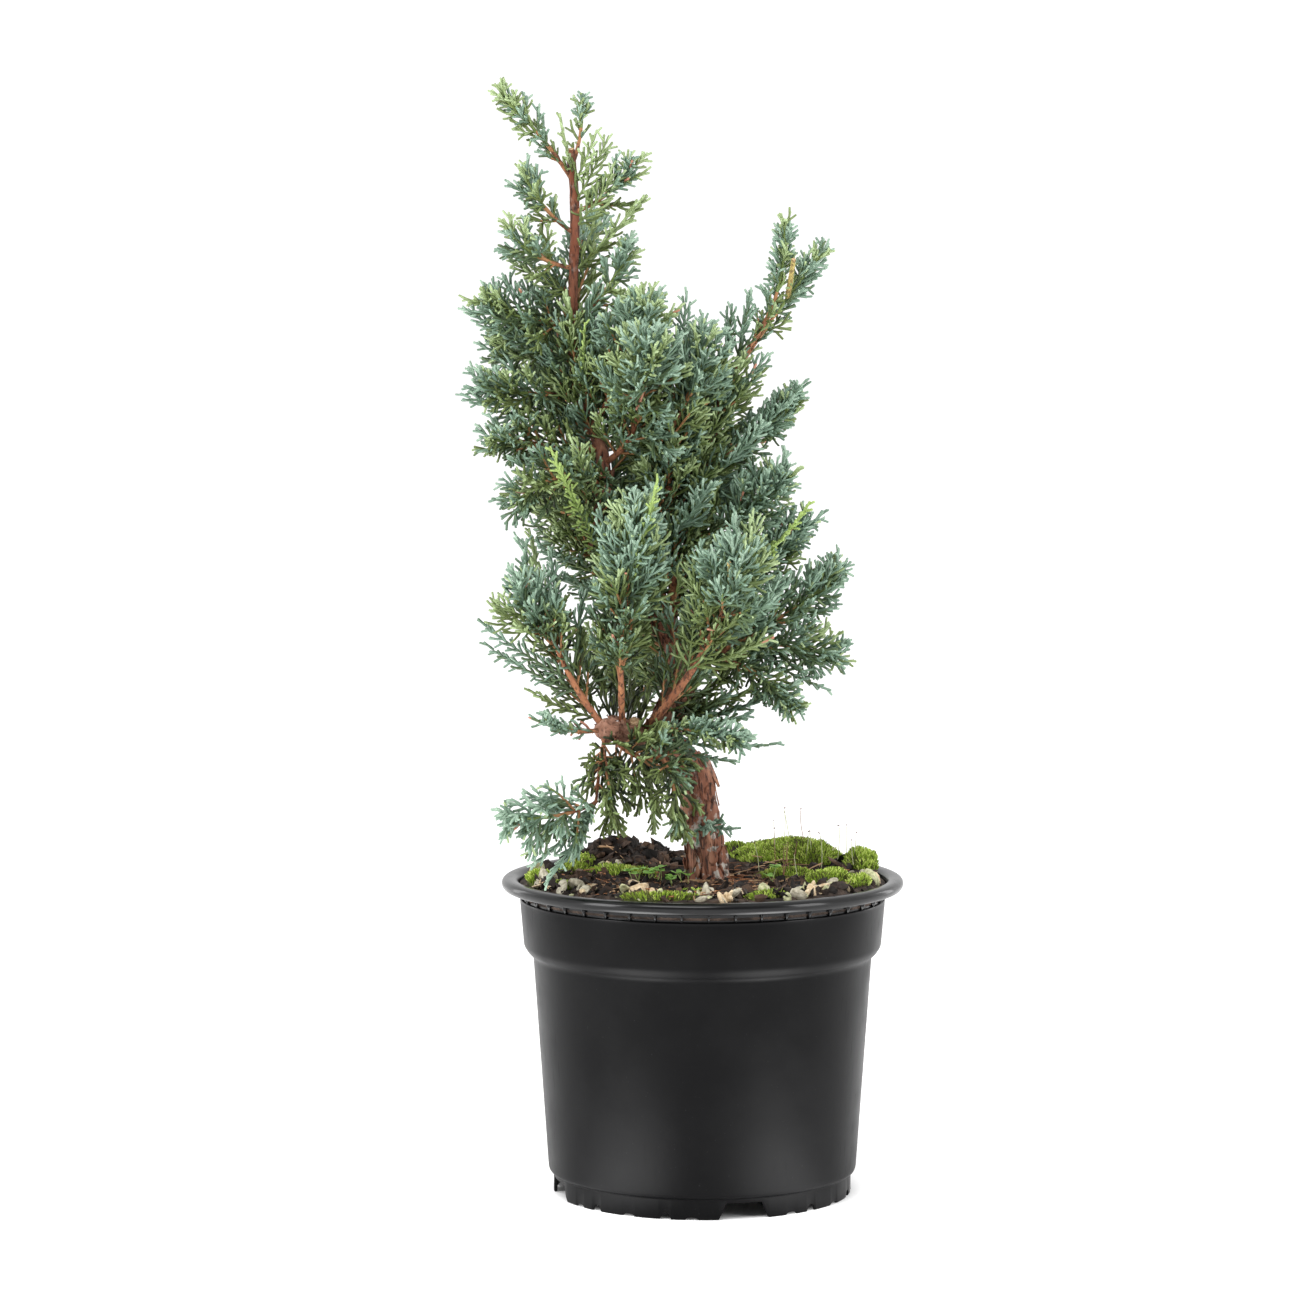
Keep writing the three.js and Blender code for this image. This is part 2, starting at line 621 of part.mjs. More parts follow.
/** One mass: its stem, then shoots round it by the golden angle, each a single spray or a twig with two. */
function buildFoliage(name, seed, masses, limbs) {
  const { row, curve, from, cutter, radiusAt } = masses[name];
  const habit = HABITS[row.habit];
  const start = cutter ? 0 : from;
  const random = seeded(seed);
  const pieces = [];
  const fits = (places) => places.every((place) => isOwn(name, place, masses, limbs));
  const addSpray = (root, direction, fullLength) => {
    const turn = random() * Math.PI;
    for (const share of TRIED_LENGTHS) {
      const length = fullLength * share;
      const spray = placeSpray(root, direction, turn, length, length < SPRAY.small ? 1 : 2);
      if (!fits(spray.places)) continue;
      pieces.push(spray.build());
      return true;
    }
    return false;
  };
  const endRoot = curve.getPointAt(1 - END_SPRAY);
  const endLine = curve.getPointAt(1).sub(endRoot);
  const ended = addSpray(endRoot, endLine.clone().normalize(), endLine.length());
  if (habit.core) {
    pieces.push(buildCore(curve, start, radiusAt, habit.core * row.spread, fits));
  } else {
    const to = ended ? 1 - END_SPRAY + STEM.overlap : 1;
    pieces.push(solidOf(rodGeometry(curve, radiusAt, { ...STEM, from: start, to })));
  }

  const shoots = habit.twigs + habit.sprays;
  for (let i = 0; i < shoots; i += 1) {
    const share = (i + 0.5) / shoots;
    const u = lerp(Math.max(from + 0.06, FIRST_SHOOT), LAST_SHOOT, share);
    const [ring] = ringsAlong(curve, u, u, 0);
    const turn = (i * GOLDEN_TURN + random() * 40) * DEGREE;
    const lean = lerp(SHOOT_LEAN.root, SHOOT_LEAN.tip, share) * DEGREE;
    const outward = ring.across.clone().multiplyScalar(Math.cos(turn));
    outward.addScaledVector(ring.side, Math.sin(turn));
    const direction = ring.along
      .clone()
      .multiplyScalar(Math.cos(lean))
      .addScaledVector(outward, Math.sin(lean))
      .addScaledVector(UP, SHOOT_LIFT)
      .normalize();
    const length = row.spread * (1.6 - 0.5 * share) * (0.9 + 0.2 * random());
    const hasTwig = i % 2 === 0 && i / 2 < habit.twigs;
    if (!hasTwig) {
      addSpray(ring.centre, direction, length);
      continue;
    }
    const tip = ring.centre.clone().addScaledVector(direction, length * TWIG.share);
    if (!fits([ring.centre.clone().lerp(tip, 0.5), tip])) continue;
    const twig = new THREE.CylinderGeometry(TWIG.radius, TWIG.radius, length * TWIG.share, 3, 1);
    twig.translate(0, (length * TWIG.share) / 2, 0);
    twig.applyQuaternion(new THREE.Quaternion().setFromUnitVectors(new THREE.Vector3(0, 1, 0), direction));
    twig.translate(ring.centre.x, ring.centre.y, ring.centre.z);
    pieces.push(solidOf(twig));
    addSpray(ring.centre.clone().lerp(tip, 0.9), direction, length * 0.6);
    const sideways = direction.clone().applyAxisAngle(ring.along, SIDE_LEAN * DEGREE);
    addSpray(ring.centre.clone().lerp(tip, 0.5), sideways, length * 0.6);
  }
  const whole = pieces.reduce((sum, piece) => sum.add(piece));
  return mainBody(seat(whole, cutter));
}

// ---------------------------------------------------------------- the whole plant

function material(color, roughness) {
  return new THREE.MeshStandardMaterial({ color, roughness, metalness: 0 });
}

const PLASTIC = material("#232326", 0.38);
const EARTH = material("#3a2a20", 0.95);
const MOSS_GREEN = material("#7f9a3a", 0.95);
const BARK = material("#7a4a38", 0.85);
const NEEDLES = material("#5f8373", 0.75);

function addPiece(group, name, geometry, finish) {
  const mesh = new THREE.Mesh(geometry, finish);
  mesh.name = name;
  group.add(mesh);
}

const trunk = layTrunk();
const limbs = layBoughs(trunk);
const masses = layFoliage(limbs);
const soil = buildSoil();

const potGroup = new THREE.Group();
addPiece(potGroup, "pot", geometryOf(buildPot()), PLASTIC);
addPiece(potGroup, "soil", geometryOf(solidOf(soil)), EARTH);
addPiece(potGroup, "moss", geometryOf(buildMoss(soil)), MOSS_GREEN);

const woodGroup = new THREE.Group();
addPiece(woodGroup, "trunk", geometryOf(buildTrunk(trunk)), BARK);
for (const name of Object.keys(BOUGHS)) {
  addPiece(woodGroup, name, geometryOf(limbs[name].solid), BARK);
}

const foliageGroup = new THREE.Group();
Object.keys(FOLIAGE).forEach((name, seed) => {
  addPiece(foliageGroup, `foliage_${name}`, geometryOf(buildFoliage(name, seed, masses, limbs)), NEEDLES);
});

const plant = new THREE.Group();
plant.add(potGroup, woodGroup, foliageGroup);

export default plant;
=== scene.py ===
"""A young juniper trained as a spiral, in a black plastic nursery pot, dressed round its packed frame.

The plant's tables and growth rule are in millimetres, and Shape turns them into metres. The settings, the
finishes and the stage are in metres.
"""

import math
from functools import partial

import bmesh
import bpy
import numpy as np
from bpy.props import FloatProperty, FloatVectorProperty, IntProperty, PointerProperty
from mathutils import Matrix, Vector, noise


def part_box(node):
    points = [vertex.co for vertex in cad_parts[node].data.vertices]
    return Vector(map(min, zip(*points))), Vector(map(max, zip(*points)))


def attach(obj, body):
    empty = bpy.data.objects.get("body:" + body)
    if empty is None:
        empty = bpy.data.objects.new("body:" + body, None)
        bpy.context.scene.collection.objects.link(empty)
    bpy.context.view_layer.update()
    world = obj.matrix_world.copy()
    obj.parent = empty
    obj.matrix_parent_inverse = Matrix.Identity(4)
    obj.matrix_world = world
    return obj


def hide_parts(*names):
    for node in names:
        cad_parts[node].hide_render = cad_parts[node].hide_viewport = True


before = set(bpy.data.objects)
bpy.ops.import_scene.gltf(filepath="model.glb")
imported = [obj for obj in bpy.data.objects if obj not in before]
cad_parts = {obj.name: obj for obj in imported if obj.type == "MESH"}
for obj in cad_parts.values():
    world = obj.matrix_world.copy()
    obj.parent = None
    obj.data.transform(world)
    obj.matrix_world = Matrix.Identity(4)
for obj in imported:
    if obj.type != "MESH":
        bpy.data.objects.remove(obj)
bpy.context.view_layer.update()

bl_info = {
    "name": "Potted Spiral Juniper",
    "version": (1, 0, 0),
    "blender": (4, 5, 0),
    "location": "View3D > Sidebar > Juniper",
    "description": "Makes a young spiral-trained juniper in its nursery pot, round the packed frame",
    "category": "Object",
}

MM = 0.001
UP = np.array([0.0, 0.0, 1.0])
EAST = np.array([1.0, 0.0, 0.0])

# ---------------------------------------------------------------- sizes, in millimetres

POT_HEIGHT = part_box("pot")[1].z / MM
RIM_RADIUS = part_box("pot")[1].x / MM
NECK_RADIUS = 85.2
COLLAR_TOP = (86.3, 140)
COLLAR_FOOT = (84.4, 117)
BODY_TOP = (80, 112.5)
BODY_FOOT = (73, 12)
WALL = 1.5
FLOOR_UNDERSIDE = 8
FLOOR_TOP = 10
BOSS_RADIUS = 20
LIP_HEIGHT = 5.5
PINHOLE = 0.01  # radius left open at the axis of a turned form, too small to see
RIB_ANGLE = 1.2  # degrees from the front towards +X, of the first rib
RIB = {"foot": 1.1, "head": 3, "half": 0.45, "sunk": 0.5}
SKIRT_RADIUS = 70.5
SKIRT_TOP = 10.4
DRAIN_ANGLE = 15.4  # degrees from the front towards +X, of the first of four drain notches
DRAIN = {"top": 17, "foot": 24, "height": 7.6}
SCALLOPS = {  # degrees on from a drain: half width and height
    30: (2.5, 3.0),
    60: (2.5, 3.0),
    20: (3.0, 1.2),
    45: (3.0, 1.2),
    70: (3.0, 1.2),
}

SOIL_TOP = 146
SOIL_RIM_LIFT = 4
SOIL_RADIUS = 84
SOIL_EDGE = 86.2
SOIL_FOOT = (83, 128)  # radius and height of its underside
RIM_LIFT_FADE = (14, 40)
SOIL_LUMPS = {"height": 1.5, "pitch": 0.11}
EDGE_SINK = 3.2
SOIL_MOUNDS = [(-42, 60, 9.5, 16), (48, 56, 7.5, 20), (72, 16, 3.5, 9)]  # x, y, height, width
MOUND_FADE = (74, 85)

TRUNK_FOOT = {"x": 3.6, "clear": 9}  # no stone or crumb lies nearer to the trunk than this
TRUNK_TOP = 491
TRUNK_LEAN = ([146, 200, 215, 372, 491], [3.6, -4, -12, -58, -62])
COIL = {"radius": 12, "from": 195, "full": 222, "easing": 300, "spent": 385, "left": 1.2}
COIL_PHASE = 225  # degrees, at the height that follows
COIL_PHASE_HEIGHT = 215
COIL_RATE = 3.4  # degrees for each millimetre of height
TRUNK_GIRTH = ([146, 195, 215, 270, 330, 400, 491], [8.6, 8.8, 7.4, 4.8, 3.3, 2.5, 2.0])
ROOT_FLARE = {"extra": 1.8, "fade": 5}
KNOB = {"from": 0.84, "rounding": 0.62}
KNOB_TRIM = 0.68  # thickness of the pruned limb under its loose bark, as a share of the solid's
KNOB_NECK = {"at": 0.75, "width": 0.07, "depth": 0.2}
STUB = {"at": 0.5, "heading": -86, "rise": 40, "foot": 2, "length": 7, "radii": (4.2, 3.2), "cut": 2.4}
GAP = 0.3

# Swellings: share along the limb, angle in degrees, height, width in degrees
TRUNK_BUMPS = [
    (0.06, 40, 1.6, 40),
    (0.1, 200, 1.2, 50),
    (0.155, 300, 1.8, 45),
    (0.2, 90, 1.5, 40),
    (0.24, 180, 1.4, 50),
]
KNOB_BUMPS = [
    (0.97, 60, 1.3, 30),
    (0.84, 250, 1.9, 26),
    (0.9, 0, 1.8, 28),
    (0.55, 120, 1.6, 34),
    (0.92, 180, 1.3, 28),
    (0.3, 300, 1.4, 40),
    (0.6, 280, 1.7, 24),
    (0.94, 310, 1.4, 22),
]
BUMP_DEGREES = 9  # degrees of a swelling's width for each millimetre of its half length

# Every bough: carrier, place on it (0 root, 1 tip, on the trunk a height), heading and rise in degrees,
# length, how far its middle arches up, and its radius at root and tip
BOUGHS = {
    "pruned_limb": ("trunk", 213, -135, 13, 44, 2, 7.6, 8.2),
    "bough_front_left": ("pruned_limb", 0.9, -155, 58, 49, -2, 1.7, 1.1),
    "bough_front_middle": ("pruned_limb", 0.66, -92, 62, 49, -2, 1.7, 1.2),
    "bough_front_right": ("pruned_limb", 0.4, -42, 48, 69, -3, 2.2, 1.4),
    "twig_hanging": ("pruned_limb", 0.88, -28, -22, 30, -5, 1.1, 0.9),
    "twig_rim": ("pruned_limb", 0.9, -106, -63, 35, 2, 1.0, 0.7),
    "limb_left": ("trunk", 352, -160, 5, 34, -2, 1.6, 1.2),
    "limb_left_under": ("trunk", 338, -128, 3, 24, -2, 1.5, 1.1),
    "limb_centre_top": ("trunk", 362, -49, 58, 36, -3, 1.5, 1.1),
    "limb_centre": ("trunk", 345, -45, 47, 35, -4, 1.6, 1.2),
    "limb_centre_right": ("trunk", 268, -81, 73, 98, 5, 1.9, 1.2),
    "limb_spire": ("trunk", 262, -9, 76, 136, 9, 2.4, 1.3),
    "limb_right_low": ("trunk", 248, -7, 32, 34, -3, 2.2, 1.5),
    "limb_back_low": ("trunk", 236, 93, 12, 58, -4, 2.2, 1.3),
    "limb_back_middle": ("trunk", 285, 65, 34, 54, -4, 1.9, 1.2),
    "limb_back_top": ("trunk", 362, 85, 36, 44, -3, 1.5, 1.0),
}

# Every mass of foliage: carrier, place, heading, rise, length and arch as above, then how far its sprays
# spread from its stem. The order is the order of their seeds.
FOLIAGE = {
    "crown_left": ("trunk", 476, -167, 49, 55, 2, 8),
    "crown_tip": ("trunk", 484, 26, 81, 31, -2, 4.5),
    "crown_right": ("trunk", 462, -15, 38, 37, -3, 11),
    "crown_left_upper": ("trunk", 452, -163, 49, 38, -3, 12),
    "crown_left_middle": ("trunk", 436, -146, 24, 39, -3, 14),
    "crown_right_middle": ("trunk", 412, -20, 52, 46, -4, 10),
    "left_upper": ("trunk", 410, -167, 14, 44, -3, 15),
    "left_middle": ("trunk", 396, 161, 3, 42, -3, 14),
    "left_wide": ("trunk", 380, -162, 2, 49, -3, 14),
    "left_low": ("limb_left", 1, -137, 4, 22, 0, 12),
    "left_under": ("limb_left_under", 1, -150, -22, 31, 3, 15),
    "centre_top": ("limb_centre_top", 1, -50, 50, 33, -3, 16),
    "centre_front": ("limb_centre", 1, -83, 45, 43, -4, 20),
    "centre_right": ("limb_centre_right", 1, -22, 68, 43, -2, 19),
    "spire": ("limb_spire", 1, 0, 73, 67, -7, 7),
    "spire_side": ("limb_spire", 0.9, 4, 54, 80, 1, 8.5),
    "right_upper": ("limb_spire", 0.62, 1, 33, 57, -5, 11),
    "right_middle": ("limb_spire", 0.34, -21, 31, 62, -6, 18),
    "right_wide": ("limb_spire", 0.12, 9, 31, 76, -6, 17),
    "right_reach": ("limb_right_low", 1, 18, 31, 56, -5, 14),
    "right_low": ("limb_right_low", 0.8, 0, -7, 51, 2, 14),
    "right_hanging": ("limb_right_low", 0.5, -24, -31, 48, 5, 10),
    "front_right": ("bough_front_right", 1, -57, 62, 40, -2, 19),
    "front_middle": ("bough_front_middle", 1, -47, 78, 65, 0, 18),
    "front_left": ("bough_front_left", 1, -150, 58, 30, -4, 15.5),
    "front_low_left": ("pruned_limb", 1, -155, 14, 28, -3, 3),
    "hanging_left": ("twig_rim", 0.3, -75, -62, 37, 4, 12),
    "hanging_right": ("twig_hanging", 1, -62, -64, 36, 4, 11),
    "rim_spray": ("twig_rim", 1, -151, -5, 47, -3, 15),
    "low_right": ("pruned_limb", 0.45, -35, -1, 62, 4, 7),
    "back_crown": ("trunk", 444, 76, 20, 50, -4, 10),
    "back_upper_left": ("limb_back_top", 0.6, 121, 30, 63, -4, 19),
    "back_upper_right": ("limb_back_top", 1, 52, 40, 46, -4, 17),
    "back_middle_left": ("trunk", 318, 104, 12, 76, -5, 19),
    "back_middle": ("limb_back_middle", 0.6, 98, 51, 74, -5, 19),
    "back_middle_right": ("limb_back_middle", 1, 31, 45, 54, -5, 18),
    "back_low_left": ("limb_back_low", 0.6, 123, 14, 66, -4, 18),
    "back_low_right": ("limb_back_low", 1, 41, 30, 53, -5, 18),
}

# The masses that each piece of sprays holds, after how far up the scale from deep green to silver it lies,
# how long its branchlets are, how far they turn up to the light, the share of its sprays that are olive
# green, and how many times the usual distance lies between its shoots. The scale holds painted shade as
# well as the leaves' own tones: the hanging sprays and those at the back lie deeper on it for their shade.
REGIONS = {
    "crown": (2.9, 0.9, 0.12, 0.45, 1.75, [
        "crown_left", "crown_tip", "crown_right", "crown_left_upper", "crown_left_middle",
        "crown_right_middle", "back_crown"]),
    "left": (2.75, 1.05, 0.12, 0.35, 1.15, [
        "left_upper", "left_middle", "left_wide", "left_low", "left_under"]),
    "centre": (3.2, 1.0, 0.12, 0.3, 1.0, ["centre_top", "centre_front", "centre_right"]),
    "spire": (2.9, 0.95, 0.12, 0.3, 2.0, ["spire", "spire_side"]),
    "right": (2.85, 1.05, 0.12, 0.15, 1.15, [
        "right_upper", "right_middle", "right_wide", "right_reach", "right_low", "right_hanging"]),
    "front": (3.15, 1.2, 0.16, 0.3, 1.1, [
        "front_right", "front_middle", "front_left", "front_low_left", "low_right"]),
    "hanging": (1.8, 1.15, -0.2, 0.9, 1.7, ["hanging_left", "hanging_right"]),
    "rim": (3.7, 1.1, -0.25, 0.05, 1.5, ["rim_spray"]),
    "back_upper": (2.4, 1.1, 0.12, 0.4, 1.0, ["back_upper_left", "back_upper_right", "back_middle_left"]),
    "back_low": (2.2, 1.1, 0.12, 0.5, 1.0, [
        "back_middle", "back_middle_right", "back_low_left", "back_low_right"]),
}

# Shoots that stand out of the masses: limb or stem, place on it, where the tip is, how wide the shoot is,
# its palette and its place on the scale of greens
SHOOTS = [
    ("trunk", 468, (-45, -8, 494), 0.8, "olive", 3.4),
    ("trunk", 458, (-41, -12, 479), 0.8, "olive", 3.2),
    ("trunk", 430, (-87, -5, 438), 0.9, "olive", 3.2),
    ("trunk", 405, (-50, -14, 425), 0.8, "blue", 2.8),
    ("limb_centre_right", 1, (12, -8, 404), 0.7, "blue", 2.8),
    ("limb_spire", 0.8, (28, -8, 393), 0.8, "blue", 2.6),
    ("bough_front_left", 0.9, (-80, -38, 313), 0.8, "olive", 3.2),
    ("bough_front_left", 0.8, (-70, -44, 304), 0.9, "blue", 3.0),
    ("bough_front_left", 0.6, (-56, -42, 286), 0.9, "blue", 2.6),
    ("trunk", 440, (-30, -8, 466), 0.9, "olive", 3.0),
    ("trunk", 304, (-74, -25, 306), 0.9, "blue", 2.6),
    ("trunk", 290, (-68, -22, 293), 0.9, "blue", 2.2),
    ("trunk", 226, (22, -14, 240), 1.0, "olive", 1.8),
    ("trunk", 222, (9, -20, 236), 1.0, "blue", 1.8),
    ("trunk", 224, (31, -10, 236), 0.9, "blue", 2.4),
    ("trunk", 228, (14, -8, 249), 1.0, "olive", 1.6),
    ("trunk", 220, (20, -24, 229), 0.8, "blue", 2.4),
    ("pruned_limb", 0.9, (-60, -24, 246), 1.0, "olive", 1.4),
    ("pruned_limb", 0.75, (-50, -20, 250), 1.0, "olive", 1.2),
    ("pruned_limb", 0.6, (-34, -16, 248), 1.0, "olive", 1.2),
    ("pruned_limb", 0.5, (-26, -22, 240), 0.9, "olive", 1.2),
    ("twig_rim", 1, (-70, -64, 158), 0.6, "blue", 4.0),
    ("twig_rim", 1, (-59, -58, 168), 0.6, "blue", 3.6),
    ("twig_rim", 1, (-77, -60, 164), 0.6, "blue", 4.0),
    ("trunk", 300, (-69, -56, 351), 0.55, "lime", 3.4),
    ("front_middle", 0.4, (-22, -66, 337), 0.5, "lime", 3.6),
    ("right_wide", 0.5, (47, -34, 325), 0.5, "lime", 3.4),
    ("trunk", 385, (-55, -21, 407), 0.4, "lime", 2.0),
    ("trunk", 172, (-7, -24, 171), 0.5, "blue", 3.8),
    ("trunk", 173, (13, -23, 175), 0.5, "blue", 3.6),
    ("trunk", 171, (3, -27, 178), 0.5, "blue", 4.0),
    ("bough_front_left", 0.6, (-101, -34, 271), 0.55, "blue", 2.8),
    ("bough_front_left", 0.45, (-98, -31, 260), 0.5, "blue", 2.4),
    ("bough_front_left", 0.15, (-78, -41, 240), 0.45, "olive", 1.8),
    ("pruned_limb", 0.97, (-76, -40, 227), 0.35, "dry", 3.0),
    ("limb_spire", 0.95, (22, -10, 423), 0.8, "blue", 2.8),
    ("limb_spire", 0.85, (13, -8, 415), 0.8, "blue", 2.6),
    ("limb_centre_right", 0.9, (-8, -12, 421), 0.9, "blue", 3.0),
    ("trunk", 378, (-109, -14, 376), 0.9, "blue", 2.8),
    ("trunk", 402, (-108, -8, 415), 0.8, "blue", 2.8),
    ("trunk", 480, (-66, -8, 503), 0.4, "olive", 3.4),
    ("trunk", 476, (-51, -8, 495), 0.6, "olive", 3.4),
    ("pruned_limb", 0.45, (-29, -26, 189), 1.1, "olive", 1.4),
    ("pruned_limb", 0.35, (-23, -28, 179), 1.1, "olive", 1.6),
    ("pruned_limb", 0.4, (12, -40, 209), 0.5, "blue", 2.4),
    ("limb_right_low", 0.9, (56, -10, 240), 0.45, "blue", 2.4),
    ("pruned_limb", 0.45, (31, -44, 217), 0.35, "blue", 2.8),
    ("front_middle", 0.35, (-37, -52, 330), 0.9, "olive", 3.6),
    ("front_middle", 0.15, (-47, -50, 323), 0.9, "blue", 3.2),
    ("front_right", 0.3, (24, -56, 320), 1.0, "olive", 3.4),
    ("front_right", 0.5, (14, -60, 321), 0.9, "blue", 3.4),
    ("bough_front_right", 0.9, (32, -50, 285), 1.0, "blue", 3.0),
    ("bough_front_right", 0.7, (28, -50, 266), 0.9, "olive", 2.8),
    ("bough_front_right", 0.6, (-2, -58, 303), 0.9, "olive", 3.0),
    ("front_left", 0.3, (-83, -46, 309), 0.9, "blue", 3.0),
    ("centre_right", 0.4, (-1, -20, 410), 0.9, "blue", 3.2),
    ("centre_front", 0.5, (-29, -24, 421), 0.9, "olive", 3.4),
    ("limb_spire", 0.5, (27, -20, 362), 1.1, "blue", 3.4),
    ("right_upper", 0.4, (46, -6, 381), 0.7, "blue", 3.2),
    ("limb_right_low", 0.7, (34, -30, 292), 1.1, "blue", 3.0),
    ("limb_centre_right", 0.4, (2, -36, 335), 1.1, "blue", 3.2),
    ("limb_centre", 0.8, (-16, -40, 352), 1.1, "blue", 3.0),
    ("trunk", 330, (-58, -44, 355), 1.0, "olive", 2.8),
]

# Leaders that were cut back and have dried: limb or stem, place on it, where the cut is, and radius
SNAGS = [
    ("spire_side", 0.62, (42, -9, 440), 1.4),
    ("front_right", 0.62, (11, -76, 303), 1.3),
]

# Growth rule, as in the solids and carried on to finer twigs
STEM_RADIUS = (1.4, 0.8)
FIRST_SHOOT = 0.08
LAST_SHOOT = 0.95
GOLDEN_TURN = 137.5
SHOOT_LEAN = (62, 34)
SHOOT_LIFT = 0.18
SHOOT_LENGTH = (1.6, 1.1)  # shares of the mass's spread, at the stem's foot and tip
END_SPRAY = 0.42
REACH = 1.35
MARGIN = 0.7
LIMB_CLEARANCE = 0.8
TRIED_LENGTHS = (1, 0.8, 0.62, 0.46)
AXIS_SHARE = 0.82  # share of a spray that its axis covers: the rest is its last branchlet
TIP_SHORTENING = 0.38  # how much shorter the last shoots of a stem are
BEND_AT = 0.55  # share of a shoot at which it turns up to the light
LONG_BRANCHLET = 5.5  # from this length on, the scale leaves of a branchlet show
BRANCHLET_LEAN = (52, 30)  # degrees from the spray's axis, at its foot and tip
BRANCHLET_REACH = {"share": 0.5, "most": 12.5, "taper": 0.62, "least": 3.8}
CROWDED = 0.55  # share of its length that a branchlet keeps where the place isn't its own
FORK_PITCH = 3.8  # length of branchlet that carries one fork
FORK_LEAN = (34, 50)
LEAF_PITCH = 1.7  # distance between the branchlets straight on a stem
LEAF_REACH = (5, 9)
LEAFY = (0.1, 0.95)  # the part of a stem that they cover

# Short sprays that grow on the limbs themselves: from and to which place on the limb (shares, or heights on
# the trunk), how far they spread, and their place on the scale of greens, which is low, for older inner
# leaves and for painted shade inside the crown
CLOTHED = {
    "trunk": (250, 434, 18, 1.9),
    "bough_front_left": (0.12, 1, 17, 1.0),
    "bough_front_middle": (0.15, 1, 17, 1.0),
    "bough_front_right": (0.2, 1, 17, 1.2),
    "limb_left": (0.3, 1, 14, 1.2),
    "limb_left_under": (0.2, 1, 14, 1.2),
    "limb_centre_top": (0.2, 1, 15, 1.8),
    "limb_centre": (0.2, 1, 15, 1.9),
    "limb_centre_right": (0.2, 1, 17, 2.1),
    "limb_spire": (0.1, 0.85, 17, 2.2),
    "limb_right_low": (0.2, 1, 16, 1.8),
    "limb_back_low": (0.3, 1, 15, 1.2),
    "limb_back_middle": (0.3, 1, 15, 1.2),
    "limb_back_top": (0.3, 1, 14, 1.2),
    "twig_hanging": (0.1, 1, 14, 0.9),
    "twig_rim": (0.1, 0.8, 8, 0.9),
}
CLOTHED_LENGTH = 1.6  # length of those sprays, as a share of their spread
CLOTHED_LEAN = (58, 40)
BARE_FRONT = {  # heights between which no spray grows on a limb's front
    "trunk": [(326, 350), (400, 500)],
    "bough_front_left": [(215, 258)],
    "bough_front_middle": [(215, 250)],
    "bough_front_right": [(215, 258)],
}

# Seeds of what is strewn or weathered. The masses count from 0, and the clothed limbs count on from them.
SEEDS = {
    "soil": 100,
    "pebbles": 200,
    "litter": 300,
    "moss": 400,
    "seedlings": 500,
    "trunk": 600,
    "boughs": 700,
    "shoots": 800,
}


# ---------------------------------------------------------------- numbers and lines


class Dice:
    """The same run of numbers for the same seed."""

    def __init__(self, seed):
        self.state = (seed + 1) * 2654435761 % 2**32

    def __call__(self, low=0.0, high=1.0):
        self.state = (self.state * 1664525 + 1013904223) % 2**32
        return low + (high - low) * self.state / 2**32


def lerp(a, b, t):
    return a + (b - a) * t


def bent(start, bend, end, t):
    """The place at t, from 0 to 1, on a bow from start to end that is pulled towards a bend."""
    return start * (1 - t) ** 2 + bend * 2 * t * (1 - t) + end * t**2


def circle(count):
    """Even angles once round."""
    return np.linspace(0, 2 * math.pi, count, endpoint=False)


def smoothstep(low, high, value):
    t = np.clip((value - low) / (high - low), 0, 1)
    return t * t * (3 - 2 * t)


def unit(vector):
    return vector / np.linalg.norm(vector)


def direction_of(heading, rise):
    heading, rise = math.radians(heading), math.radians(rise)
    flat = math.cos(rise)
    return np.array([flat * math.cos(heading), flat * math.sin(heading), math.sin(rise)])


def turned_about(vector, axis, degrees):
    angle = math.radians(degrees)
    return (
        vector * math.cos(angle)
        + np.cross(axis, vector) * math.sin(angle)
        + axis * np.dot(axis, vector) * (1 - math.cos(angle))
    )


def across_of(direction):
    """A vector at right angles to a direction, level with the ground where it can be."""
    guide = UP if abs(direction[2]) < 0.95 else EAST
    return unit(np.cross(guide, direction))


def round_axis(across, side, angle):
    """The direction at an angle round an axis, from the two directions across it."""
    return across * math.cos(angle) + side * math.sin(angle)


def leaning(along, outward, lean, lift=0.0):
    """A direction that leans from the first towards the second, and is turned up by a lift."""
    return unit(along * math.cos(lean) + outward * math.sin(lean) + UP * lift)


class Line:
    """A limb's middle line, resampled to even steps, with its radius along it."""

    def __init__(self, points, radius, steps=48):
        points = np.asarray(points, float)
        lengths = np.r_[0, np.cumsum(np.linalg.norm(np.diff(points, axis=0), axis=1))]
        self.length = lengths[-1]
        self.shares = np.linspace(0, 1, steps + 1)
        at = self.shares * self.length
        self.points = np.stack([np.interp(at, lengths, points[:, k]) for k in range(3)], axis=1)
        self.radius = radius

    def at(self, u):
        return np.array([np.interp(u, self.shares, self.points[:, k]) for k in range(3)])

    def along(self, u):
        return unit(self.at(min(1, u + 0.02)) - self.at(max(0, u - 0.02)))

    def samples(self, count):
        shares = np.linspace(0, 1, count + 1)
        points = np.stack([self.at(u) for u in shares])
        radii = np.array([self.radius(u) for u in shares])
        return points, radii

    def ring(self, u):
        """Centre and frame at one share of the line."""
        return tuple(part[0] for part in self.rings([u]))

    def rings(self, shares):
        """Centres and turning-free frames at some shares of the line."""
        centres = np.stack([self.at(u) for u in shares])
        alongs = np.stack([self.along(u) for u in shares])
        across = across_of(alongs[0])
        acrosses = []
        for along in alongs:
            across = unit(across - along * np.dot(across, along))
            acrosses.append(across)
        acrosses = np.stack(acrosses)
        return centres, alongs, acrosses, np.cross(alongs, acrosses)


def arc_points(start, heading, rise, length, arch):
    """Points along one arc that leaves a place at a heading and rise, its middle pushed up by the arch."""
    end = start + direction_of(heading, rise) * length
    bend = (start + end) / 2 + direction_of(heading, rise + 90) * 2 * arch
    t = np.linspace(0, 1, 33)[:, None]
    return bent(start, bend, end, t)


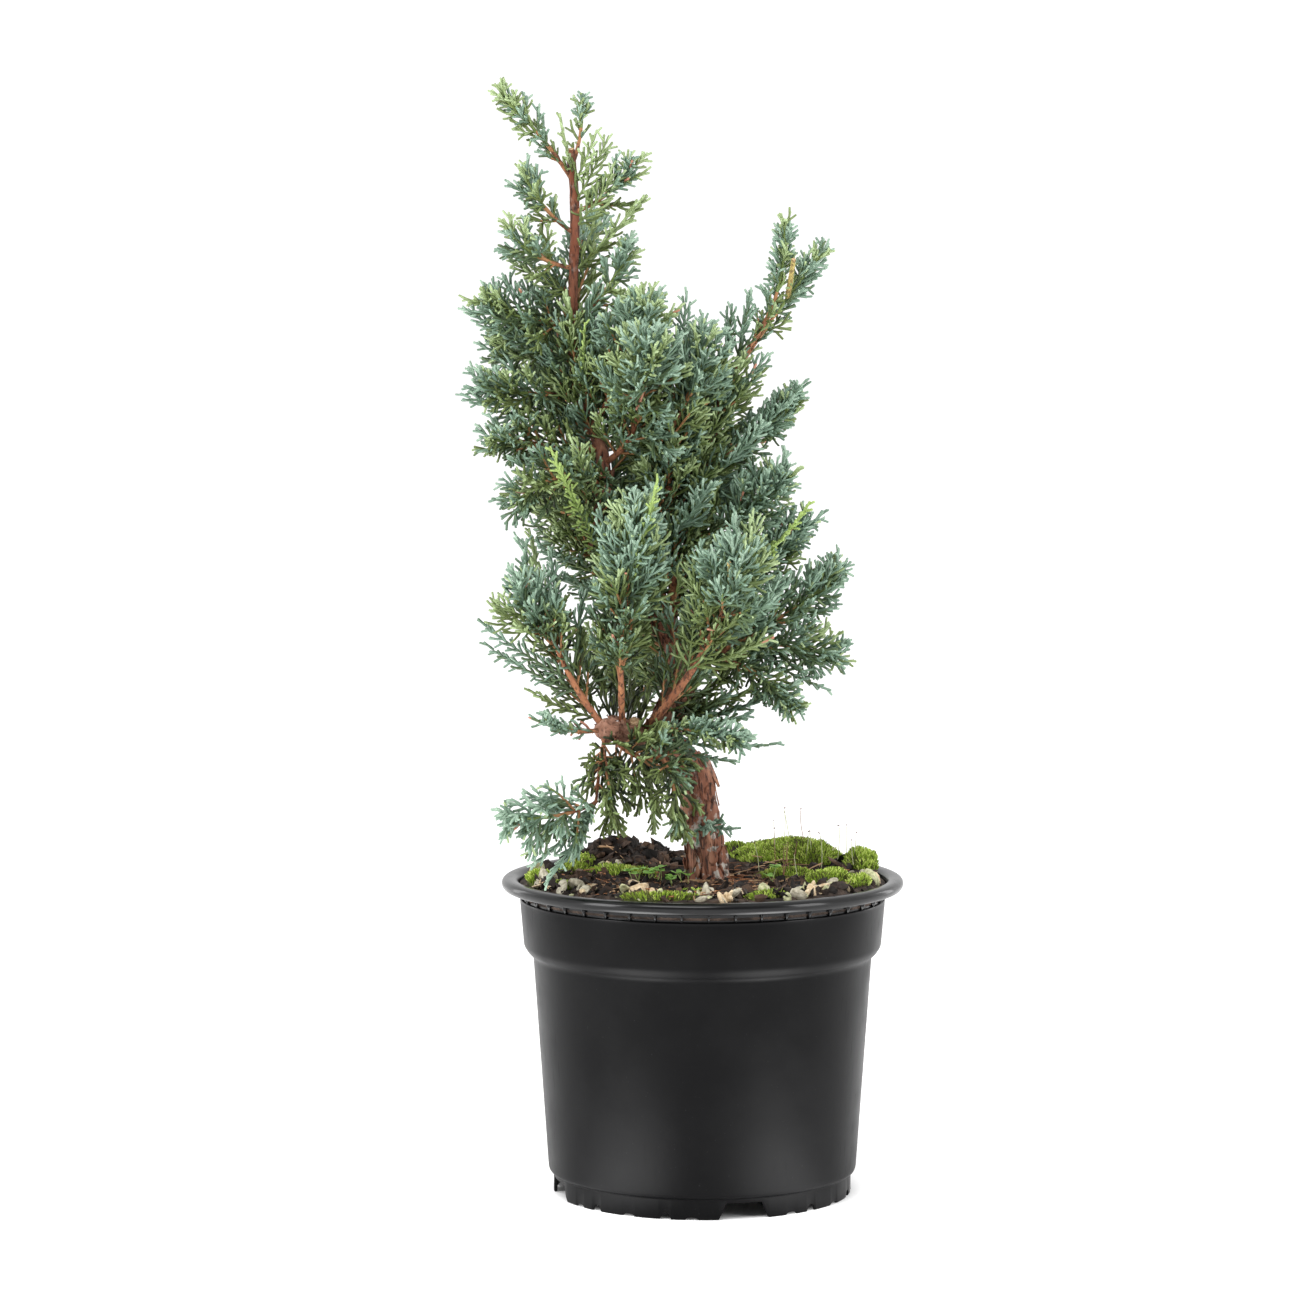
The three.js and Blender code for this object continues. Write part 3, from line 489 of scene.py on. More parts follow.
def trunk_point(z):
    """The middle of the trunk at a height: a leaning line, with a coil about it that is spent higher up."""
    lean = np.interp(z, *TRUNK_LEAN)
    eased = smoothstep(COIL["easing"], COIL["spent"], z)
    radius = COIL["radius"] * smoothstep(COIL["from"], COIL["full"], z) * (1 - eased) + COIL["left"] * eased
    phase = math.radians(COIL_PHASE + COIL_RATE * (z - COIL_PHASE_HEIGHT))
    return np.array([lean + radius * math.cos(phase), radius * math.sin(phase), z])


def trunk_radius(z):
    return np.interp(z, *TRUNK_GIRTH) + ROOT_FLARE["extra"] * math.exp(-(z - SOIL_TOP) / ROOT_FLARE["fade"])


def lay_trunk():
    """The trunk's line, its foot a little into the soil."""
    heights = np.linspace(SOIL_TOP - 3, TRUNK_TOP, 240)
    line = Line([trunk_point(z) for z in heights], None, steps=240)
    line.radius = lambda u: trunk_radius(line.at(u)[2])
    return line


def share_at_height(trunk, z):
    foot, top = trunk.at(0)[2], trunk.at(1)[2]
    return (z - foot) / (top - foot)


def lay_limb(row, radius, lines):
    """A limb's line, grown on from its carrier's tip, or from the middle of its carrier."""
    carrier, place, heading, rise, length, arch = row[:6]
    line = lines[carrier]
    if place == 1:
        tip = line.at(1)
        start = tip + line.along(1) * (GAP + radius(0) * 0.5)
        points = np.vstack([tip, arc_points(start, heading, rise, length, arch)])
    else:
        start = trunk_point(place) if carrier == "trunk" else line.at(place)
        points = arc_points(start, heading, rise, length, arch)
    return Line(points, radius)


def lay_plant():
    """The lines of the trunk and boughs, and those of the masses' stems."""
    limbs = {"trunk": lay_trunk()}
    for name, row in BOUGHS.items():
        root, tip = row[6:]
        knob = KNOB if name == "pruned_limb" else {"from": 1, "rounding": 0}

        def radius(u, root=root, tip=tip, knob=knob):
            past = max(0, u - knob["from"]) / max(1e-6, 1 - knob["from"])
            return lerp(root, tip, u) * math.sqrt(1 - knob["rounding"] * min(1, past) ** 2)

        limbs[name] = lay_limb(row, radius, limbs)
    stems = {name: lay_limb(row, partial(lerp, *STEM_RADIUS), limbs) for name, row in FOLIAGE.items()}
    return limbs, stems


class Space:
    """Tells which places are a stem's own: near it, nearest to it of all stems, and off every limb."""

    def __init__(self, limbs, stems):
        lines = {name: (line.samples(10)[0], FOLIAGE[name][6]) for name, line in stems.items()}
        for name, (_, _, spread, _) in CLOTHED.items():
            lines[name] = (limbs[name].samples(60 if name == "trunk" else 10)[0], spread)
        self.names = list(lines)
        self.spreads = np.array([spread for _, spread in lines.values()])
        self.stem_from = np.vstack([points[:-1] for points, _ in lines.values()])
        self.stem_to = np.vstack([points[1:] for points, _ in lines.values()])
        self.firsts = np.cumsum([0] + [len(points) - 1 for points, _ in lines.values()])[:-1]
        samples = [line.samples(60 if name == "trunk" else 12) for name, line in limbs.items()]
        self.limb_from = np.vstack([points[:-1] for points, _ in samples])
        self.limb_to = np.vstack([points[1:] for points, _ in samples])
        self.limb_radius = np.hstack([radii[:-1] for _, radii in samples])

    @staticmethod
    def distances(points, ends_from, ends_to):
        span = ends_to - ends_from
        away = points[:, None, :] - ends_from
        t = np.clip((away * span).sum(-1) / (span * span).sum(-1), 0, 1)
        return np.linalg.norm(away - span * t[..., None], axis=-1)

    def clear(self, points):
        """Whether each point is off every limb, the pot and the ground."""
        points = np.asarray(points)
        limbs = (self.distances(points, self.limb_from, self.limb_to) - self.limb_radius).min(-1)
        ground = np.array([ground_height(x, y) for x, y, _ in points])
        over_pot = np.hypot(points[:, 0], points[:, 1]) < RIM_RADIUS + 2
        above = points[:, 2] > np.maximum(POT_HEIGHT, ground) + 1.5
        return (limbs > LIMB_CLEARANCE) & (~over_pot | above)

    def owns(self, name, points, grace):
        """Whether each point is the stem's own. With less grace it may stand deeper in its neighbours."""
        points = np.asarray(points)
        mine = self.names.index(name)
        flat = self.distances(points, self.stem_from, self.stem_to)
        away = np.minimum.reduceat(flat, self.firsts, axis=1)
        own = away[:, mine]
        others = np.delete((away - MARGIN) / self.spreads, mine, axis=1).min(-1)
        near = own < self.spreads[mine] * REACH
        return near & self.clear(points) & (others > grace * (own + MARGIN) / self.spreads[mine])


# ---------------------------------------------------------------- meshes


class Shape:
    """The vertices, faces and finish numbers of a piece in the making, in millimetres."""

    def __init__(self):
        self.vertices = []
        self.faces = []
        self.finishes = []
        self.count = 0

    def add(self, vertices, faces, finish=0):
        """Adds vertices and faces that count from them. finish is one number, or one for each face."""
        vertices = np.asarray(vertices, float).reshape(-1, 3)
        faces = np.asarray(faces, int)
        self.vertices.append(vertices)
        self.faces.append(faces + self.count)
        self.finishes.append(np.broadcast_to(finish, len(faces)))
        self.count += len(vertices)

    def join(self, faces, finish=0):
        """Adds more faces between the vertices that were added last."""
        faces = np.asarray(faces, int)
        self.faces.append(faces + self.count - len(self.vertices[-1]))
        self.finishes.append(np.broadcast_to(finish, len(faces)))

    def piece(self, name, finishes, slot, nodes=(), smooth=True):
        """The finished object, riding on the root body."""
        mesh = bpy.data.meshes.new(name)
        vertices = np.vstack(self.vertices) * MM
        sizes = np.concatenate([np.full(len(f), f.shape[1]) for f in self.faces])
        corners = np.concatenate([f.ravel() for f in self.faces])
        mesh.vertices.add(len(vertices))
        mesh.vertices.foreach_set("co", vertices.ravel())
        mesh.loops.add(len(corners))
        mesh.loops.foreach_set("vertex_index", corners)
        mesh.polygons.add(len(sizes))
        mesh.polygons.foreach_set("loop_start", np.r_[0, np.cumsum(sizes)[:-1]])
        mesh.polygons.foreach_set("material_index", np.concatenate(self.finishes))
        mesh.polygons.foreach_set("use_smooth", np.full(len(sizes), smooth))
        mesh.update(calc_edges=True)
        for finish in finishes:
            mesh.materials.append(finish)
        made = bpy.data.objects.new(name, mesh)
        bpy.context.scene.collection.objects.link(made)
        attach(made, "root")
        if nodes:
            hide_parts(*nodes)
        return made


def grid_faces(rows, columns, closed=True):
    """Quads between the rows of a grid, joined round where it is closed."""
    row = np.arange(rows - 1)[:, None]
    column = np.arange(columns if closed else columns - 1)[None, :]
    after = (column + 1) % columns
    corners = [row * columns + column, row * columns + after,
               (row + 1) * columns + after, (row + 1) * columns + column]
    return np.stack(np.broadcast_arrays(*corners), axis=-1).reshape(-1, 4)


def spokes(acrosses, sideways, sides):
    """Directions evenly round each of some axes, from the two directions across each."""
    angles = circle(sides)[None, :, None]
    return acrosses[:, None] * np.cos(angles) + sideways[:, None] * np.sin(angles)


def add_sweep(shape, line, shares, sides, radii, finish=0):
    """A rod round a line, with a blunt end. radii are rows of one radius for each side."""
    centres, alongs, acrosses, sideways = line.rings(shares)
    grid = centres[:, None] + spokes(acrosses, sideways, sides) * radii[..., None]
    shape.add(grid, grid_faces(len(shares), sides), finish)
    blunt = centres[-1] + alongs[-1] * radii[-1].mean() * 0.35
    last = np.vstack([grid[-1], blunt])
    column = np.arange(sides)
    shape.add(last, np.stack([column, (column + 1) % sides, np.full(sides, sides)], axis=1), finish)


def add_turned(shape, profile, angles, finish=0):
    """A form turned round the Z axis from a profile of (radius, height) that starts and ends on the axis."""
    profile = np.asarray(profile, float)
    radii = np.repeat(profile[:, :1], len(angles), axis=1)
    heights = np.repeat(profile[:, 1:], len(angles), axis=1)
    grid = np.stack([radii * np.sin(angles), -radii * np.cos(angles), heights], axis=-1)
    shape.add(grid, grid_faces(len(grid), len(angles)), finish)


def rounded(corners, steps):
    """Points along a run of corners (radius, height, fillet), each corner rounded off by its fillet."""
    points = []
    for i, (x, y, fillet) in enumerate(corners):
        corner = np.array([x, y], float)
        if not fillet:
            points.append(corner)
            continue
        before = np.array(corners[i - 1][:2]) - corner
        after = np.array(corners[(i + 1) % len(corners)][:2]) - corner
        start = corner + before * min(0.48, fillet / np.linalg.norm(before))
        end = corner + after * min(0.48, fillet / np.linalg.norm(after))
        for t in np.linspace(0, 1, steps + 1):
            points.append(bent(start, corner, end, t))
    return np.array(points)


class Rods:
    """Many small bent rods, gathered one by one and made into mesh all at once.

    Their rings swell and narrow by turns, as scale leaves in pairs do.
    """

    def __init__(self, rings, sides=3, swell=0.0):
        self.shares = np.linspace(0, 0.93, rings)  # and a last point at 1, so that the tips are blunt
        self.swell = swell
        self.sides = sides
        self.rows = []

    def add(self, start, bend, end, root, tip, finish, tip_finish=None):
        """Adds a rod from start to end, with radii at its root and tip, and finishes of its body and tip."""
        last = finish if tip_finish is None else tip_finish
        self.rows.append((*start, *bend, *end, root, tip, finish, last))

    def into(self, shape):
        """Hands the rods over to a shape, each with its pointed tip, and lets go of them."""
        if not self.rows:
            return
        rows, self.rows = np.array(self.rows), []
        start, bend, end = (rows[:, None, k : k + 3] for k in (0, 3, 6))
        root, tip = rows[:, 9:10], rows[:, 10:11]
        u = self.shares[None, :, None]
        centres = bent(start, bend, end, u)
        along = (end - start)[:, 0]
        along /= np.linalg.norm(along, axis=1, keepdims=True)
        guide = np.where(np.abs(along[:, 2:]) < 0.9, UP, EAST)
        across = np.cross(guide, along)
        across /= np.linalg.norm(across, axis=1, keepdims=True)
        side = np.cross(along, across)
        beat = 1 + self.swell * np.where(np.arange(len(self.shares)) % 2, 1, -1)
        radius = (root + (tip - root) * self.shares) * beat
        grid = centres[:, :, None] + spokes(across, side, self.sides)[:, None] * radius[:, :, None, None]
        count, rings, sides = grid.shape[:3]
        points = np.concatenate([grid.reshape(count, rings * sides, 3), end], axis=1)
        first = (np.arange(count) * (rings * sides + 1))[:, None, None]
        column = np.arange(sides)
        edge = (rings - 1) * sides
        cap = np.stack([edge + column, edge + (column + 1) % sides, np.full(sides, rings * sides)], axis=1)
        body = first + grid_faces(rings, sides)[None]
        is_tip = np.repeat(np.arange(rings - 1), sides) >= rings - 2
        finishes = np.where(is_tip[None], rows[:, 12:13], rows[:, 11:12]).astype(int)
        shape.add(points, body.reshape(-1, 4), finishes.ravel())
        shape.join((first + cap[None]).reshape(-1, 3), np.repeat(rows[:, 12], sides).astype(int))


# ---------------------------------------------------------------- finishes


class Socket:
    """A socket of a finish in the making. Python's operators on it add Math nodes."""

    def __init__(self, finish, socket):
        self.finish = finish
        self.socket = socket

    def math(self, operation, *values):
        return self.finish.node("ShaderNodeMath", {"operation": operation}, dict(enumerate(values)))

    def __add__(self, other):
        return self.math("ADD", self, other)

    __radd__ = __add__

    def __sub__(self, other):
        return self.math("SUBTRACT", self, other)

    def __rsub__(self, other):
        return self.math("SUBTRACT", other, self)

    def __mul__(self, other):
        return self.math("MULTIPLY", self, other)

    __rmul__ = __mul__

    def between(self, low, high):
        """0 below low, 1 above high, and smooth from one to the other."""
        ends = {"Value": self, "From Min": low, "From Max": high}
        return self.finish.node("ShaderNodeMapRange", {"interpolation_type": "SMOOTHSTEP"}, ends)

    def mix(self, low, high):
        """The colour low where this is 0, and high where it is 1."""
        colours = {"Factor_Float": self, "A_Color": low, "B_Color": high}
        return self.finish.node("ShaderNodeMix", {"data_type": "RGBA"}, colours, "Result_Color")


class Nodes:
    """A node tree in the making. node() adds any node and hands back one of its outputs."""

    def __init__(self, tree):
        self.tree = tree

    def feed(self, socket, value):
        """Links a socket to another, or sets its value."""
        if isinstance(value, Socket):
            self.tree.links.new(value.socket, socket)
        elif socket.type == "RGBA":
            socket.default_value = (*value, 1)
        else:
            socket.default_value = value

    def node(self, kind, settings=None, inputs=None, output=None):
        """Adds a node, with its settings first and then its sockets, by identifier or by number."""
        made = self.tree.nodes.new(kind)
        for name, value in (settings or {}).items():
            setattr(made, name, value)
        by_identifier = {socket.identifier: socket for socket in made.inputs}
        for key, value in (inputs or {}).items():
            self.feed(by_identifier[key] if key in by_identifier else made.inputs[key], value)
        outputs = {socket.identifier: socket for socket in made.outputs}
        return Socket(self, outputs[output] if output else made.outputs[0])


class Finish(Nodes):
    """A material in the making."""

    def __init__(self, name, colour, roughness, **constants):
        self.material = bpy.data.materials.new(name)
        self.material.use_nodes = True
        self.material.diffuse_color = (*colour, 1)
        super().__init__(self.material.node_tree)
        self.surface = self.tree.nodes["Principled BSDF"]
        self.set(base_color=colour, roughness=roughness, **constants)

    def set(self, **values):
        """Sets or links sockets of the surface shader by name, and hands back the material."""
        for name, value in values.items():
            self.feed(self.surface.inputs[name.replace("_", " ").title().replace("Ior", "IOR")], value)
        return self.material

    def place(self, stretch=(1, 1, 1)):
        """Where a point lies on the piece, squeezed along each axis."""
        where = self.node("ShaderNodeTexCoord", output="Object")
        return self.node("ShaderNodeVectorMath", {"operation": "MULTIPLY"}, {0: where, 1: stretch})

    def grain(self, size, detail=3.0, stretch=(1, 1, 1)):
        """Noise from 0 to 1 with grains of about that size in metres."""
        inputs = {"Vector": self.place(stretch), "Scale": 1 / size, "Detail": detail, "Roughness": 0.55}
        return self.node("ShaderNodeTexNoise", {"noise_dimensions": "3D"}, inputs)

    def height(self):
        """How high a point of the piece lies, in metres."""
        return self.node("ShaderNodeSeparateXYZ", {}, {0: self.place()}, "Z")

    def distance_to(self, spot):
        """How far a point of the piece lies from a spot, in metres."""
        where = self.node("ShaderNodeTexCoord", output="Object")
        return self.node("ShaderNodeVectorMath", {"operation": "DISTANCE"}, {0: where, 1: spot}, "Value")

    def bump(self, height, depth):
        """A Normal from a height of 0 to 1 that stands for that depth in metres."""
        return self.node("ShaderNodeBump", {}, {"Height": height, "Distance": depth, "Strength": 1.0})


def plain(name, colour, roughness):
    return Finish(name, colour, roughness).material


def plastic_finish(settings):
    """Black satin plastic with fine scuffs, faint upright scratches and dust, glossy on the neck and lip."""
    made = Finish("black_plastic", settings.colour, settings.roughness, specular_ior_level=0.08)
    scuffs = made.grain(0.03, 4).between(0.35, 0.75)
    scratches = made.grain(0.0012, 2, (1, 1, 0.03)).between(0.62, 0.72)
    dust = made.grain(0.0009, 1).between(0.74, 0.8)
    dusty = tuple(c + 0.015 for c in settings.colour)
    worn = (scuffs * 0.1 + dust * 0.8).mix(settings.colour, dusty)
    return made.set(
        base_color=worn,
        coat_weight=made.height().between(0.138, 0.142) * 0.45,
        coat_roughness=0.14,
        roughness=settings.roughness + scuffs * 0.1 + scratches * 0.08 + dust * 0.2,
        normal=made.bump(made.grain(0.004, 3) + scratches * 0.3, 0.00002),
    )


def soil_finish(name, light, dark):
    """Damp potting mix: dark, rough, with paler dry grains."""
    made = Finish(name, light, 0.9)
    patches = made.grain(0.012, 4).between(0.35, 0.7)
    grains = made.grain(0.0014, 3)
    return made.set(
        base_color=(patches * grains * 1.6).mix(dark, light),
        roughness=1 - patches * 0.25,
        normal=made.bump(grains, 0.0006),
    )


def pebble_finish(name, light, dark):
    """River gravel, mottled and a little dirty."""
    made = Finish(name, light, 0.7)
    mottle = made.grain(0.0018, 4).between(0.3, 0.7)
    return made.set(base_color=mottle.mix(dark, light), normal=made.bump(mottle, 0.0002))


def bark_finish(name, light, middle, dark, lichen=None, young=None, fibre=(1, 1, 0.22)):
    """Scaly bark: cracks darkened with painted shade, and peeling strips of two browns. On the trunk there is
    pale lichen near the ground, and younger bark high up."""
    made = Finish(name, middle, 0.85)
    strips = made.grain(0.0035, 4, fibre).between(0.36, 0.64)
    patches = made.grain(0.012, 3, (1, 1, 0.5)).between(0.4, 0.62)
    cracks = made.grain(0.0016, 3, fibre).between(0.5, 0.36)
    colour = patches.mix(middle, light)
    colour = (strips * 0.75).mix(colour, middle)
    if young:
        colour = (made.height().between(0.34, 0.43) * 0.75).mix(colour, young)
    # Painted shade: the hollows of the cracks go almost black.
    colour = (cracks * 0.9).mix(colour, dark)
    if lichen:
        spots = made.grain(0.0045, 3).between(0.56, 0.64)
        low = 1 - made.height().between(0.158, 0.2)
        colour = (spots * (0.15 + low * 0.75)).mix(colour, lichen)
    relief = made.bump(strips + cracks * -0.6, 0.0005)
    return made.set(base_color=colour, roughness=0.95 - strips * 0.2, normal=relief)


def knob_finish():
    """Wrinkled pink-brown bark of the pruned limb, darker in patches, with painted shade almost black in the
    hollows of its wrinkles.
    """
    made = Finish("knob_bark", (0.34, 0.17, 0.115), 0.85)
    patches = made.grain(0.006, 4).between(0.35, 0.65)
    wrinkles = made.grain(0.0016, 4, (1, 1, 0.6))
    colour = (patches * 0.8).mix((0.43, 0.24, 0.17), (0.23, 0.1, 0.06))
    # Painted shade: the hollows of the wrinkles go almost black.
    colour = wrinkles.between(0.47, 0.3).mix(colour, (0.07, 0.03, 0.02))
    return made.set(base_color=colour, normal=made.bump(wrinkles, 0.0009))


def cut_wood_finish():
    """The pale face of a pruning cut, cracked and browned at its rim."""
    made = Finish("cut_wood", (0.52, 0.33, 0.17), 0.75)
    rings = made.grain(0.0012, 4).between(0.35, 0.7)
    colour = rings.mix((0.33, 0.19, 0.1), (0.62, 0.43, 0.25))
    return made.set(base_color=colour, normal=made.bump(rings, 0.0002))


def moss_finish(name, light, dark):
    """The bed under the moss tufts, green in patches."""
    made = Finish(name, light, 0.9)
    patches = made.grain(0.006, 4).between(0.35, 0.68)
    return made.set(base_color=patches.mix(dark, light), normal=made.bump(made.grain(0.0012, 2), 0.0006))


# ---------------------------------------------------------------- pot


def add_ribs(shape, count, low, high):
    """Upright ribs on the pot's neck, each a wedge that runs out under the lip."""
    back = NECK_RADIUS - RIB["sunk"]
    levels = [(low, NECK_RADIUS + RIB["foot"]), (high, NECK_RADIUS + RIB["head"]), (high, back), (low, back)]
    for k in range(count):
        angle = math.radians(RIB_ANGLE + k * 360 / count)
        out = np.array([math.sin(angle), -math.cos(angle), 0])
        side = np.array([math.cos(angle), math.sin(angle), 0])
        corners = [out * r + side * RIB["half"] * way + UP * z for z, r in levels for way in (-1, 1)]
        shape.add(corners, [[0, 1, 3, 2], [2, 3, 5, 4], [6, 7, 1, 0], [0, 2, 4, 6], [3, 1, 7, 5]])


def skirt_notches(angles):
    """How high the foot skirt is cut away at each angle: four drains, with scallops between them."""

    def away_from(degrees):
        turn = (np.degrees(angles) - degrees + 180) % 360 - 180
        return turn * math.pi / 180 * SKIRT_RADIUS

    cut = np.zeros(len(angles))
    slope = (DRAIN["foot"] - DRAIN["top"]) / 2
    for quarter in range(4):
        drain = DRAIN_ANGLE + quarter * 90
        for offset, (half, height) in SCALLOPS.items():
            round_cut = np.sqrt(np.clip(1 - (away_from(drain + offset) / half) ** 2, 0, 1))
            cut = np.maximum(cut, height * round_cut)
        flat_cut = np.clip((DRAIN["foot"] / 2 - np.abs(away_from(drain))) / slope, 0, 1)
        cut = np.maximum(cut, flat_cut * DRAIN["height"])
    return cut


def pot_corners(rim, top):
    """The pot's profile, from the middle of its underside up the outside and down the inside."""
    lip_foot = top - LIP_HEIGHT
    underside = [
        (PINHOLE, 0, 0),
        (BOSS_RADIUS, 0, 0.8),
        (BOSS_RADIUS, FLOOR_UNDERSIDE, 0),
        (SKIRT_RADIUS, FLOOR_UNDERSIDE, 0),
        (SKIRT_RADIUS, 9.6, 0.6),
    ]
    body = [
        (BODY_FOOT[0] - 0.4, 10.6, 1.2),
        (BODY_FOOT[0], BODY_FOOT[1] + 1, 1.2),
        (*BODY_TOP, 1.6),
        (82.4, 114.6, 1.0),
        (COLLAR_FOOT[0], COLLAR_FOOT[1] + 0.6, 1.4),
        (*COLLAR_TOP, 0.5),
    ]
    neck = [
        (NECK_RADIUS, COLLAR_TOP[1] + 0.2, 0.2),
        (NECK_RADIUS, COLLAR_TOP[1] + 0.7, 0),
        (NECK_RADIUS, lip_foot - 0.4, 0),
        (NECK_RADIUS + 0.2, lip_foot, 0.2),
    ]
    lip = [
        (rim - 1.4, lip_foot, 0.7),
        (rim, lip_foot + 2, 1.6),
        (rim - 0.4, top - 1.2, 1.6),
        (rim - 2.4, top, 1.6),
        (rim - 6.4, top - 0.2, 1.6),
        (rim - 8, top - 1.8, 1.0),
    ]
    inside = [
        (COLLAR_TOP[0] - WALL, COLLAR_TOP[1], 0),
        (COLLAR_FOOT[0] - WALL, COLLAR_FOOT[1], 0),
        (BODY_TOP[0] - WALL, BODY_TOP[1] + 1, 0),
        (BODY_FOOT[0] - WALL, BODY_FOOT[1], 0),
        (BODY_FOOT[0] - WALL, FLOOR_TOP, 0),
        (PINHOLE, FLOOR_TOP, 0),
    ]
    return underside + body + neck + lip + inside


def make_pot(settings):
    """The pot, turned in one with its inside, with ribs under its lip and a notched skirt under its foot."""
    rim, top = settings.rim_radius / MM, settings.height / MM
    shape = Shape()
    add_turned(shape, rounded(pot_corners(rim, top), 3), circle(150))
    add_ribs(shape, settings.ribs, COLLAR_TOP[1] + 0.3, top - LIP_HEIGHT + 0.2)

    angles = np.radians(np.arange(0, 360, 0.5))
    cut = skirt_notches(angles)
    inner = SKIRT_RADIUS - WALL
    loop = [  # radius, height, and whether the notches lift it
        (SKIRT_RADIUS, SKIRT_TOP, 0),
        (SKIRT_RADIUS, 0.5, 1),
        (SKIRT_RADIUS - 0.3, 0, 1),
        (inner + 0.3, 0, 1),
        (inner, 0.5, 1),
        (inner, SKIRT_TOP, 0),
    ]
    rows = []
    for r, z, lifted in loop:
        heights = np.minimum(z + cut * lifted, SKIRT_TOP)
        rows.append(np.stack([r * np.sin(angles), -r * np.cos(angles), heights], axis=-1))
    shape.add(np.stack(rows + rows[:1]), grid_faces(len(rows) + 1, len(angles)))
    return shape.piece("nursery_pot", [plastic_finish(settings)], "pot_plastic", ["pot"])


# ---------------------------------------------------------------- soil, pebbles and moss


# Where crumbs, stones and needles lie most: x, y, radius
CRUMB_SPOTS = [(0, 0, 84), (-30, -30, 45), (20, -35, 40), (-40, 52, 30)]
PEBBLE_SPOTS = [
    (48, -55, 12),
    (40, -62, 14),
    (58, -42, 10),
    (-62, -48, 12),
    (-70, -30, 9),
    (74, -14, 7),
    (-78, 8, 5),
    (5, -72, 16),
    (-30, -68, 12),
    (-42, 30, 12),
    (0, 0, 80),
]
LITTER_SPOTS = [(-20, -62, 26), (10, -12, 16), (-10, -30, 40), (20, 5, 30), (0, 0, 78)]
SEEDLINGS = [(-31, -12), (-21, -4), (-14, -22), (-27, -2), (-8, -14), (33, -10)]  # x, y


def ground_height(x, y):
    """The soil's height, as in the solids."""
    r = math.hypot(x, y)
    fade = 1 - smoothstep(*MOUND_FADE, r)
    mounds = sum(h * math.exp(-0.5 * (math.hypot(x - mx, y - my) / w) ** 2) for mx, my, h, w in SOIL_MOUNDS)
    lift = SOIL_RIM_LIFT * (r / SOIL_RADIUS) ** 2 * smoothstep(*RIM_LIFT_FADE, r)
    return SOIL_TOP + lift + mounds * fade


def crumbly(x, y):
    """The soil's height with its lumps, sunk where it meets the pot's wall."""
    pitch = SOIL_LUMPS["pitch"]
    lumps = SOIL_LUMPS["height"] * noise.fractal(Vector((x * pitch, y * pitch, 3)), 0.8, 2.2, 4)
    edge = smoothstep(SOIL_RADIUS - 3, SOIL_EDGE, math.hypot(x, y))
    return ground_height(x, y) + lumps * (1 - edge) - EDGE_SINK * edge


def lump(seed, roughness, subdivisions=1):
    """A rough stone or crumb about 1 mm across, as vertices and faces."""
    ball = bmesh.new()
    bmesh.ops.create_icosphere(ball, subdivisions=subdivisions, radius=0.5)
    for vertex in ball.verts:
        push = noise.noise(vertex.co * 2.3 + Vector((seed * 7.1, seed * 3.3, 0)))
        vertex.co *= 1 + roughness * push
    vertices = np.array([vertex.co[:] for vertex in ball.verts])
    faces = np.array([[vertex.index for vertex in face.verts] for face in ball.faces])
    ball.free()
    return vertices, faces


def spin(dice):
    """A turn in any direction, as a matrix of rows."""
    axis = unit(np.array([dice(-1, 1), dice(-1, 1), dice(-1, 1)]) + 1e-3)
    return np.stack([turned_about(row, axis, dice(0, 360)) for row in np.eye(3)])


def strewn(dice, spots):
    """A place within one of some spots (x, y, radius)."""
    x, y, reach = spots[int(dice(0, len(spots)))]
    angle, away = dice(0, 2 * math.pi), reach * math.sqrt(dice())
    return x + away * math.cos(angle), y + away * math.sin(angle)


def scatter(shape, dice, count, spots, sizes, squash, lumps, finishes, sink):
    """Rough lumps strewn over the soil. squash is how flat they are, and sink how far they lie in it."""
    for _ in range(count):
        x, y = strewn(dice, spots)
        if math.hypot(x - TRUNK_FOOT["x"], y) <= TRUNK_FOOT["clear"] or math.hypot(x, y) > SOIL_RADIUS:
            continue
        vertices, faces = lumps[int(dice(0, len(lumps)))]
        size = lerp(*sizes, dice() ** 2.2)
        scaled = vertices * size * np.array([1, dice(0.65, 1), dice(*squash)])
        place = np.array([x, y, crumbly(x, y) + size * (0.5 * squash[0] - sink * 0.5)])
        shape.add(scaled @ spin(dice) + place, faces, int(dice(0, finishes)))


def turned_places(radius, angles):
    """Places round the Z axis at a radius, from the front towards +X."""
    return [(radius * math.sin(a), -radius * math.cos(a)) for a in angles]


def make_soil(settings):
    """The soil's lumpy surface and sides, with crumbs on it."""
    angles = circle(160)
    shape = Shape()
    rings = np.r_[PINHOLE, np.arange(1.6, SOIL_EDGE, 1.6), SOIL_EDGE]
    rows = [[(x, y, crumbly(x, y)) for x, y in turned_places(r, angles)] for r in rings]
    for r in (SOIL_FOOT[0], PINHOLE):
        rows.append([(x, y, SOIL_FOOT[1]) for x, y in turned_places(r, angles)])
    shape.add(np.array(rows)[::-1], grid_faces(len(rows), len(angles)))
    lumps = [lump(seed, 1.1) for seed in range(8)]
    dice = Dice(SEEDS["soil"])
    scatter(shape, dice, settings.crumbs, CRUMB_SPOTS, (1.1, 7), (0.45, 0.9), lumps, 4, 0.05)
    finishes = [
        soil_finish("damp_soil", (0.075, 0.045, 0.03), (0.012, 0.008, 0.006)),
        soil_finish("dark_crumb", (0.045, 0.028, 0.02), (0.008, 0.006, 0.005)),
        soil_finish("brown_crumb", (0.15, 0.085, 0.05), (0.03, 0.018, 0.012)),
        soil_finish("black_crumb", (0.02, 0.013, 0.01), (0.005, 0.004, 0.003)),
    ]
    return shape.piece("potting_soil", finishes, "soil", ["soil"], smooth=False)


